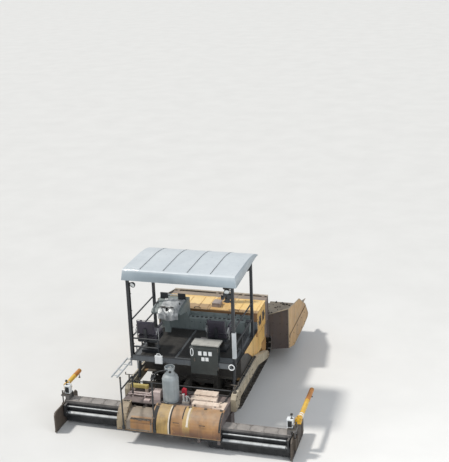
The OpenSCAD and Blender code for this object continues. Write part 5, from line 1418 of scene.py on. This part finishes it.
valveBlock.block((180, 330), (-900, -800), (deckZ + 2, 900), 10)
valveBlock.rod((205, -850, 898), (205, -850, 1040), 26, 20)
valveBlock.lathe((205, -850, 1036), "z", [(26, 0), (34, 4), (34, 16), (20, 24), (8, 26)], 20)
valveBlock.rod((280, -860, 898), (280, -860, 990), 18, 18)
for z in (920, 950, 980):
    valveBlock.lathe((280, -860, z), "z", [(18, -5), (27, -3), (27, 3), (18, 5)], 18)
valveBlock.tube(smoothed([(240, -850, 1000), (300, -850, 1010), (330, -840, 960), (334, -830, 890)]), 10, 12)
valveBlock.piece("valveBlock", "galvanised", "screed", "steel_worn")
conduits = Form()
for points in ([(180, -850, 840), (60, -960, 840), (-300, -960, 840), (-330, -780, 846)],
        [(860, -700, 838), (1060, -700, 838), (1060, -340, 838), (1100, -330, 860)],
        [(-210, -520, 850), (-60, -440, 838), (340, -440, 838), (364, -470, 850)],
        [(-560, -560, 838), (-700, -420, 838), (-1080, -420, 838), (-1100, -340, 850)],
        [(110, -470, 870), (110, -380, 838), (900, -370, 838), (1080, -360, 838)]):
    conduits.tube(smoothed(points), 11, 12)
    x, y = (points[1][0] + points[2][0]) / 2, (points[1][1] + points[2][1]) / 2
    conduits.block((x - 18, x + 18), (y - 18, y + 18), (deckZ - 1, deckZ + 32), 4)
conduits.piece("deckConduits", "darkPaint", "screed", "steel_worn")
postClamps = Form()
for x in (-1000, -290):
    postClamps.lathe((x, -1402, 1560), "z", [(19, 0), (22, 6), (22, 34), (19, 40)], 18)
    postClamps.lathe((x, -1402, 700), "z", [(19, 0), (24, 4), (24, 30), (19, 34)], 18)
    postClamps.rod((x, -1402, 717), (x, -1372, 717), 9, 10)
postClamps.piece("postClamps", "wornSteel", "screed")
print("stage: deck")

# Tow arms: top flange, weld beads, pin plates, thickness screws and pipes; rings on the lift cylinders
armValues = {"pin": (2400, 560), "crank": (1225, -390), "lift": (1108, 50, 1390), "liftAim": (0, -200, -790)}
for side, name in reversed(bothSides):
    pinY, pinZ = armValues["pin"]
    crankX, crankY = armValues["crank"]
    flange = Form()
    top = [(-468, 940), (1500, 940), (2430, 645)]
    for (y0, z0), (y1, z1) in zip(top, top[1:]):
        flange.prism("x", span(side, 1168, 1282),
            [(y0, z0 + 0.5), (y1, z1 + 0.5), (y1, z1 + 9), (y0, z0 + 9)], 1)
    flange.piece("armFlange_" + name, "armPale", "screed", "steel_worn")
    beads = Form()
    for x in (1281, 1169):
        beads.tube([(side * x, y, z) for y, z in ((-548, 600), (-548, 858), (-470, 936), (1498, 936),
                (2428, 640))], 5, 6)
    beads.tube([(side * 1281, y, z) for y, z in ((-310, 582), (-134, 738), (1440, 738), (2358, 482))], 5, 6)
    beads.piece("armWelds_" + name, "armTan", "screed", "steel_worn")
    plates = Form()
    plates.lathe((side * 1278, pinY, pinZ), (side, 0, 0), [(78, 0), (80, 4), (80, 14), (74, 18), (40, 18),
            (38, 26), (0.5, 27)], 28)
    plates.prism("x", span(side, 1280, 1288),
        [(-540, 610), (-320, 610), (-180, 750), (-120, 930), (-460, 930), (-540, 850)], 2)
    plates.prism("x", span(side, 1280, 1287), [(620, 750), (900, 750), (900, 930), (620, 930)], 2)
    plates.piece("armPlates_" + name, "armTan", "screed", "steel_worn")
    spots = [((side * 1288, y, z), (side, 0, 0)) for y, z in ((-500, 650), (-360, 650), (-500, 830),
            (-430, 890), (-200, 890), (-260, 730))]
    spots += [((side * 1287, y, z), (side, 0, 0)) for y in (650, 870) for z in (780, 900)]
    spots += [(p, (side, 0, 0)) for p in circle("x", (side * 1297, pinY, pinZ), 58, 6)]
    bolts("armBolts_" + name, spots, 12, "screed")
    crank = Form()
    crank.rod((side * crankX, crankY, 938), (side * crankX, crankY, 1130), 17, 16)
    for z in range(962, 1100, 14):
        crank.lathe((side * crankX, crankY, z), "z", [(17, -4), (21, 0), (17, 4)], 14)
    crank.block(span(side, 1190, 1260), (crankY - 40, crankY + 40), (942, 975), 6)
    crank.rod((side * crankX - 90, crankY, 1136), (side * crankX + 90, crankY, 1136), 10, 12)
    crank.rod((side * 1305, crankY, 1136), (side * 1305, crankY, 1190), 11, 12)
    crank.piece("thicknessCrank_" + name, "wornSteel", "screed", "steel_worn")
    armPipes = Form()
    for x, r in ((1200, 11), (1228, 9)):
        armPipes.tube(smoothed([(side * x, 1440, 962), (side * x, 0, 962), (side * x, -270, 962),
                (side * (x - 60), -330, 940), (side * (x - 110), -340, 880)]), r, 12)
    for y in (-60, 420, 900, 1400):
        armPipes.block(span(side, 1184, 1244), (y - 12, y + 12), (946, 978), 3)
    armPipes.piece("armPipes_" + name, "darkPaint", "screed", "steel_worn")
    direction = Vector(armValues["liftAim"]).normalized()
    x, y, z = armValues["lift"]
    start = Vector((side * x, y, z))
    rings = Form()
    rings.lathe(start + direction * 440, tuple(direction), [(37, 0), (40, 4), (40, 26), (36, 31)], 24)
    rings.lathe(start + direction * 62, tuple(direction), [(37, 0), (40, 4), (40, 14), (37, 18)], 24)
    for t in (100, 400):
        rings.rod(start + direction * t, start + direction * t + Vector((0, 58, 0)), 11, 12)
    rings.piece("liftRings_" + name, "darkPaint", "lift_barrel_" + name, "steel_worn")
print("stage: tow arms")

# Sliding sections: strips and plates of the walkway, ribs, tube flanges, the control box and gate screws
slideValues = {"x0": 840, "x1": 2640, "depth": 250, "plate": 300, "front": {"right": -960, "left": -570},
    "tube": (-65, 280), "guide": (-37, 430)}
for side, name in reversed(bothSides):
    body = "extension_" + name
    front = slideValues["front"][name]
    rear = front - slideValues["depth"]
    x0, x1 = slideValues["x0"], slideValues["x1"]
    tubeY, tubeZ = slideValues["tube"]
    guideY, guideZ = slideValues["guide"]
    edges = Form()
    for y in (front - 6, rear + 6):
        edges.block(span(side, x0 + 4, x1 - 4), (y - 6, y + 6), (550, 558), 2)
    for k in range(1, 6):
        x = x0 + k * slideValues["plate"]
        edges.block(span(side, x - 4, x + 4), (rear + 12, front - 12), (549, 555), 1)
    edges.piece("walkEdges_" + name, "palePlate", body, "steel_worn")
    plates = Form()
    for k in range(6):
        x = x0 + k * slideValues["plate"]
        plates.block(span(side, x + 12, x + 288), (rear + 14, front - 14), (549.5, 552 + (k % 2)), 1)
    plates.piece("walkPlates_" + name, "palePlate", body, "steel_worn")
    spots = [((side * (x0 + k * slideValues["plate"] + t), y, 553), (0, 0, 1)) for k in range(6)
        for t in (30, 270) for y in (rear + 30, front - 30)]
    bolts("walkScrews_" + name, spots, 7, body, material="wornSteel", height=4)
    stiff = Form()
    for x in range(900, 2600, 280):
        stiff.prism("x", span(side, x, x + 10), [(rear - 1, 80), (rear - 1, 190), (rear - 12, 176),
                (rear - 12, 80)], 1)
    stiff.block(span(side, x0 + 20, x1 - 90), (rear - 5, rear + 1), (466, 496), 2)
    stiff.piece("slideRibs_" + name, "darkSteel", body, "steel_worn")
    sleeves = Form()
    for x in (2560, 2644):
        sleeves.lathe((side * (x - 10), rear + tubeY, tubeZ), "x", [(58, -9), (62, -6), (62, 6), (58, 9)], 28)
        sleeves.lathe((side * (x - 10), rear + guideY, guideZ), "x", [(28, -8), (32, -6), (32, 6),
                (28, 8)], 22)
    sleeves.piece("tubeFlanges_" + name, "darkPaint", body, "steel_worn")
    corners = circle("x", (side * 2641, rear + tubeY, tubeZ), 74, 4, math.pi / 4)
    bolts("tubeBolts_" + name, [(p, (side, 0, 0)) for p in corners], 9, body)
    conduit = Form()
    conduit.tube(smoothed([(side * 2538, front - 34, 553), (side * 2538, front - 34, 690),
            (side * 2562, front - 66, 724)]), 9, 12)
    conduit.block(span(side, 2526, 2549), (front - 48, front - 20), (553, 566), 3)
    conduit.block(span(side, 2526, 2552), (front - 46, front - 24), (610, 626), 3)
    conduit.piece("boxConduit_" + name, "darkPaint", body, "steel_worn")
    box = Form()
    mid = (front + rear) / 2
    box.block(span(side, 2540, 2661), (mid - 60, mid + 60), (694, 872), 8)
    box.block(span(side, 2533, 2668), (mid - 66, mid + 66), (868, 886), 5)
    box.rod((side * 2600, mid, 640), (side * 2600, mid, 700), 22, 18)
    box.piece("controlBox_" + name, "blankPlate", body, "canopy_white")
    face = Form()
    face.block(span(side, 2557, 2645), (mid - 64, mid - 58), (712, 850), 3)
    for x in (2575, 2601, 2627):
        for z in (740, 780, 820):
            face.rod((side * x, mid - 62, z), (side * x, mid - 74, z), 7, 12)
    face.piece("controlFace_" + name, "seam", body)
    stick = Form()
    stick.rod((side * 2630, mid, 884), (side * 2630, mid, 960), 7, 12)
    stick.lathe((side * 2630, mid, 950), "z", [(9, 0), (24, 10), (30, 28), (24, 46), (9, 54)], 20)
    stick.lathe((side * 2630, mid, 884), "z", [(30, 0), (24, 8), (18, 18), (10, 24)], 20)
    stick.piece("controlStick_" + name, "blackPlastic", body)
    screws = Form()
    screws.block(span(side, 2552, 2700), (rear + 14, front - 14), (670, 678), 3)
    for y in (rear + 50, front - 50):
        screws.lathe((side * 2712, y, 670), "z", [(26, 0), (26, 12), (15, 16), (15, 96), (10, 100)], 18)
        screws.rod((side * 2712, y, 760), (side * 2640, y, 760), 8, 12)
        screws.rod((side * 2642, y, 760), (side * 2642, y, 800), 10, 12)
    screws.piece("gateScrews_" + name, "wornSteel", body, "steel_worn")
    print("stage: sliding section", name)

# End gates: wear shoe, ribs, and the yellow arm with its collars, end, root and sensor
gateValues = {"outer": 2682, "rear": -1340, "front": -150, "armX": 2750, "armZ": 760,
    "arm": {"right": (-900, 480), "left": (-520, 250)},
    "ribs": {"right": (-1240, -760, -330), "left": (-1240, -960, -330)}}
for side, name in reversed(bothSides):
    body = "end_gate_" + name
    outer = gateValues["outer"]
    gateRear, gateFront = gateValues["rear"], gateValues["front"]
    armX, armZ = side * gateValues["armX"], gateValues["armZ"]
    y0, y1 = gateValues["arm"][name]
    front = slideValues["front"][name]
    shoe = Form()
    shoe.block(span(side, 2646, 2690), (gateRear - 4, gateFront - 70), (26, 62), 6)
    shoe.prism("x", span(side, 2648, 2688), [(gateFront - 90, 28), (gateFront - 74, 28), (gateFront + 4, 94),
            (gateFront - 8, 104)], 2)
    shoe.piece("gateShoe_" + name, "wornSteel", body, "steel_worn")
    ribs = Form()
    for y in gateValues["ribs"][name]:
        ribs.block(span(side, outer - 1, outer + 12), (y - 18, y + 18), (64, 470), 3)
    ribs.block(span(side, outer - 1, outer + 10), (gateRear + 40, gateFront - 60), (452, 480), 3)
    ribs.piece("gateRibs_" + name, "gatePlate", body, "steel_worn")
    spots = [((side * outer, y, z), (side, 0, 0)) for y in range(-1300, -200, 157) for z in (92, 420)]
    bolts("gateBolts_" + name, spots, 10, body)
    length = y1 - y0
    arm = Form()
    arm.lathe((armX, y0, armZ), "y", [(42, -1), (52, 3), (52, length * 0.62)], 30)
    arm.piece("armTube_" + name, "tubeYellow", body, "body_yellow")
    armEnd = Form()
    end = length * 0.38
    armEnd.lathe((armX, y0 + length * 0.62, armZ), "y", [(52, 0), (55, 4), (55, 60), (52, 64), (52, end - 30),
            (46, end - 6), (30, end)], 30)
    armEnd.piece("armEnd_" + name, "tubeOrange", body, "body_yellow")
    collars = Form()
    for t in (0.1, 0.155):
        collars.lathe((armX, y0 + length * t, armZ), "y", [(52, -16), (59, -12), (59, 12), (52, 16)], 30)
    collars.piece("armCollars_" + name, "blankPlate", body, "canopy_white")
    root = Form()
    root.block(span(side, 2668, 2790), (front + 44, front + 176), (690, 772), 10)
    root.rod((side * 2730, front + 110, 770), (side * 2730, front + 110, 836), 30, 22)
    root.block(span(side, 2652, 2790), (front + 36, front + 184), (672, 694), 5)
    root.piece("armRoot_" + name, "tubeYellow", body, "body_yellow")
    spots = [((side * x, front + y, 772), (0, 0, 1)) for x in (2688, 2772) for y in (60, 160)]
    bolts("rootBolts_" + name, spots, 9, body, material="wornSteel")
    sensor = Form()
    sensor.rod((armX, y1 - 40, 716), (armX, y1 - 40, 620), 9, 12)
    sensor.lathe((armX, y1 - 40, 590), "z", [(6, 0), (24, 6), (26, 18), (10, 34)], 20)
    sensor.piece("armSensor_" + name, "darkPaint", body)
    print("stage: end gate", name)

# Augers: bolted flight segments, shaft couplings, shields and motors
augerValues = {"z": 330, "pitch": 300, "x0": 116, "couplings": (130, 440, 740, 1040)}
augerZ = augerValues["z"]
for side, name in reversed(bothSides):
    body = "auger_" + name
    couplings = Form()
    for x in augerValues["couplings"]:
        couplings.lathe((side * x, 0, augerZ), "x", [(46, -22), (56, -18), (56, 18), (46, 22)], 24)
    couplings.piece("augerCouplings_" + name, "tarSteel", body, "steel_worn")
    spots = []
    for k in range(6):
        x = 180 + k * 150
        a = 2 * math.pi * (x - augerValues["x0"]) / augerValues["pitch"]
        for r in (75, 150):
            spots.append(((side * (x + 12), r * math.sin(a), augerZ - r * math.cos(a)), (side, 0, 0)))
    for x in augerValues["couplings"]:
        for a, p in zip(turnsOf(4, 0.5), circle("x", (side * x, 0, augerZ), 55, 4, 0.5)):
            spots.append((p, (0, math.cos(a), math.sin(a))))
    bolts("augerBolts_" + name, spots, 8, body, material="wornSteel")
    shield = Form()
    shield.prism("x", span(side, 90, 1150), [(150, 430), (156, 430), (196, 560), (196, 700), (188, 700),
            (188, 562)], 1)
    shield.piece("augerShield_" + name, "tarSteel", "tractor", "steel_worn")
spots = [(p, (s, 0, 0)) for s in (-1, 1) for p in circle("x", (s * 90, 0, augerZ), 96, 8)]
spots += [((x, 262, z), (0, -1, 0)) for x in (-500, -300, 300, 500) for z in (620, 820)]
bolts("driveBolts", spots, 11)
motors = Form()
for s in (-1, 1):
    motors.lathe((s * 260, 225, 780), "y", [(60, 0), (74, 8), (74, 90), (60, 98), (60, 150), (40, 156)], 26)
    motors.tube(through([(s * 220, 215, 800), (s * 180, 150, 840), (s * 120, 120, 900),
            (s * 60, 180, 960)], 5), 12, 10)
motors.piece("augerMotors", "castIron", "tractor", "steel_worn")
print("stage: augers")

# Seats: cushions swollen by a cloth simulation, then sewn channels, piping, arm rests and levers
seatValues = {"spots": {"left": (-880, 190), "right": (650, 550)}, "voxel": 7.5, "quickVoxel": 10,
    "pressure": 4.0, "cap": 15, "steps": 20, "channels": (-110, 0, 110), "channelDepth": 7}


# Seat and back cushion as one closed skin
def padShell():
    form = Form()
    form.block((-224, 224), (-228, 238), (372, 458), 26)
    form.prism("x", (-214, 214), [(-262, 494), (-190, 498), (-248, 828), (-310, 828)], 20)
    data = bpy.data.meshes.new("padShell")
    bmesh.ops.recalc_face_normals(form.mesh, faces=form.mesh.faces)
    form.mesh.to_mesh(data)
    form.mesh.free()
    shell = bpy.data.objects.new("padShell", data)
    bpy.context.scene.collection.objects.link(shell)
    remesh = shell.modifiers.new("remesh", "REMESH")
    remesh.mode = "VOXEL"
    remesh.voxel_size = seatValues["voxel"] * mm
    return applied(shell)


# Swells the cushions by pressure, and no vertex moves further than the cap
def swollen(shell):
    start = [vert.co.copy() for vert in shell.data.vertices]
    cloth = shell.modifiers.new("cloth", "CLOTH")
    cloth.settings.quality = 3
    cloth.settings.use_pressure = True
    cloth.settings.uniform_pressure_force = seatValues["pressure"]
    cloth.settings.effector_weights.gravity = 0
    cloth.point_cache.frame_start = 1
    cloth.point_cache.frame_end = seatValues["steps"]
    for step in range(1, seatValues["steps"] + 1):
        bpy.context.scene.frame_set(step)
    applied(shell)
    bpy.context.scene.frame_set(1)
    cap = seatValues["cap"] * mm
    for vert, home in zip(shell.data.vertices, start):
        move = vert.co - home
        if move.length > cap:
            vert.co = home + move.normalized() * cap
    return shell


shell = swollen(padShell())
for vert in shell.data.vertices:
    x = vert.co.x / mm
    z = vert.co.z / mm
    facing = vert.normal.z if z < 480 else vert.normal.y
    depth = sum(math.exp(-((x - c) / 9) ** 2) for c in seatValues["channels"]) * seatValues["channelDepth"]
    if facing > 0.55:
        vert.co -= vert.normal * depth * mm
    vert.co.z = max(vert.co.z, 361 * mm)
relax = shell.modifiers.new("relax", "SMOOTH")
relax.factor = 0.5
relax.iterations = 3
divided = shell.modifiers.new("divided", "SUBSURF")
divided.levels = divided.render_levels = 1
applied(shell)
for name, (sx0, sy0) in seatValues["spots"].items():
    data = shell.data.copy()
    data.transform(Matrix.Translation((sx0 * mm, sy0 * mm, floorZ * mm)))
    pads = dress(data, "seatPads_" + name, "vinyl", "tractor", angle=80)
    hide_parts("seat_pads")

    def seatAt(x, y, z):
        return (sx0 + x, sy0 + y, floorZ + z)

    piping = Form()
    for z in (452, 378):
        loop = []
        for cx, cy, turn in ((194, 208, 0), (-194, 208, 1), (-194, -198, 2), (194, -198, 3)):
            for k in range(7):
                a = math.pi / 2 * (turn + k / 6)
                loop.append(seatAt(cx + 36 * math.cos(a), cy + 36 * math.sin(a), z))
        piping.tube(loop, 4.5, 8, closed=True)
    loop = []
    for cx, cz, turn in ((186, 798, 0), (-186, 798, 1), (-186, 528, 2), (186, 528, 3)):
        for k in range(7):
            a = math.pi / 2 * (turn + k / 6)
            z = cz + 34 * math.sin(a)
            loop.append(seatAt(cx + 34 * math.cos(a), -184 - 58 * (z - 498) / 330, z))
    piping.tube(loop, 4.5, 8, closed=True)
    piping.piece("seatPiping_" + name, "seam")
    arms = Form()
    rests = Form()
    for s in (-1, 1):
        arms.tube(smoothed([seatAt(s * 236, -250, 520), seatAt(s * 252, -250, 600),
                seatAt(s * 252, -120, 632), seatAt(s * 252, 90, 634)]), 11, 12)
        arms.rod(seatAt(s * 252, -160, 330), seatAt(s * 252, -160, 610), 10, 12)
        middle = sx0 + s * 252
        rests.prism("x", (middle - 20, middle + 20), [
                (sy0 - 150, floorZ + 636), (sy0 + 110, floorZ + 636), (sy0 + 124, floorZ + 650),
                (sy0 + 110, floorZ + 670), (sy0 - 150, floorZ + 670)], 9)
    arms.piece("armRods_" + name, "galvanised", "tractor", "steel_worn")
    rests.piece("armRests_" + name, "vinyl", "tractor", "seat_vinyl")
    runners = Form()
    for s in (-1, 1):
        x = sx0 + s * 170
        runners.block((x - 16, x + 16), (sy0 - 240, sy0 + 240), (floorZ + 298, floorZ + 306), 2)
    for k in range(8):
        z = floorZ + 90 + 24 * k
        runners.lathe((sx0, sy0, z), "z", [(74, -9), (96, 0), (74, 9)], 28)
    runners.rod(seatAt(150, 220, 310), seatAt(210, 300, 320), 8, 12)
    runners.piece("seatBellows_" + name, "blackPlastic", "tractor", "rubber")
bpy.data.objects.remove(shell)
print("stage: seats")

# Floor and light
lightValues = {
    "sunTurn": (math.radians(30), 0, math.radians(-78)), "sunStrength": 2.4, "sunAngle": math.radians(6),
    "fillPlace": (7.5, -7.5, 7.0), "fillPower": 330, "fillSize": 6.0, "skyStrength": 0.62,
}
floorData = bpy.data.meshes.new("floor")
floorHalf = 400
floorData.from_pydata([(x * floorHalf, y * floorHalf, 0) for x, y in ((-1, -1), (1, -1), (1, 1), (-1, 1))],
    [], [(0, 1, 2, 3)])
floor = bpy.data.objects.new("floor", floorData)
bpy.context.scene.collection.objects.link(floor)
floorTree = Tree("pale floor")
patches = floorTree.add("MapRange", floorTree.add("TexNoise", floorTree.place, 0.7, 4, 0.55), 0.3, 0.7)
shade = floorTree.add("Mix", patches, linear("#dddcd9"), linear("#d8d7d4"), data_type="RGBA")
floorTree.fill(floorTree.shader.inputs["Base Color"], shade)
floorTree.fill(floorTree.shader.inputs["Roughness"], 0.85)
floorData.materials.append(floorTree.material)
sunData = bpy.data.lights.new("sun", "SUN")
sunData.energy = lightValues["sunStrength"]
sunData.angle = lightValues["sunAngle"]
sunData.color = (1.0, 0.97, 0.92)
sun = bpy.data.objects.new("sun", sunData)
sun.rotation_euler = lightValues["sunTurn"]
bpy.context.scene.collection.objects.link(sun)
fillData = bpy.data.lights.new("fill", "AREA")
fillData.energy = lightValues["fillPower"]
fillData.size = lightValues["fillSize"]
fillData.color = (0.93, 0.96, 1.0)
fill = bpy.data.objects.new("fill", fillData)
fill.location = lightValues["fillPlace"]
aim = Vector((0, 0, 1)) - Vector(lightValues["fillPlace"])
fill.rotation_euler = aim.to_track_quat("-Z", "Y").to_euler()
bpy.context.scene.collection.objects.link(fill)
world = bpy.data.worlds.new("studio")
world.use_nodes = True
world.node_tree.nodes["Background"].inputs["Color"].default_value = (0.80, 0.85, 0.92, 1.0)
world.node_tree.nodes["Background"].inputs["Strength"].default_value = lightValues["skyStrength"]
bpy.context.scene.world = world
print("stage: floor and light")
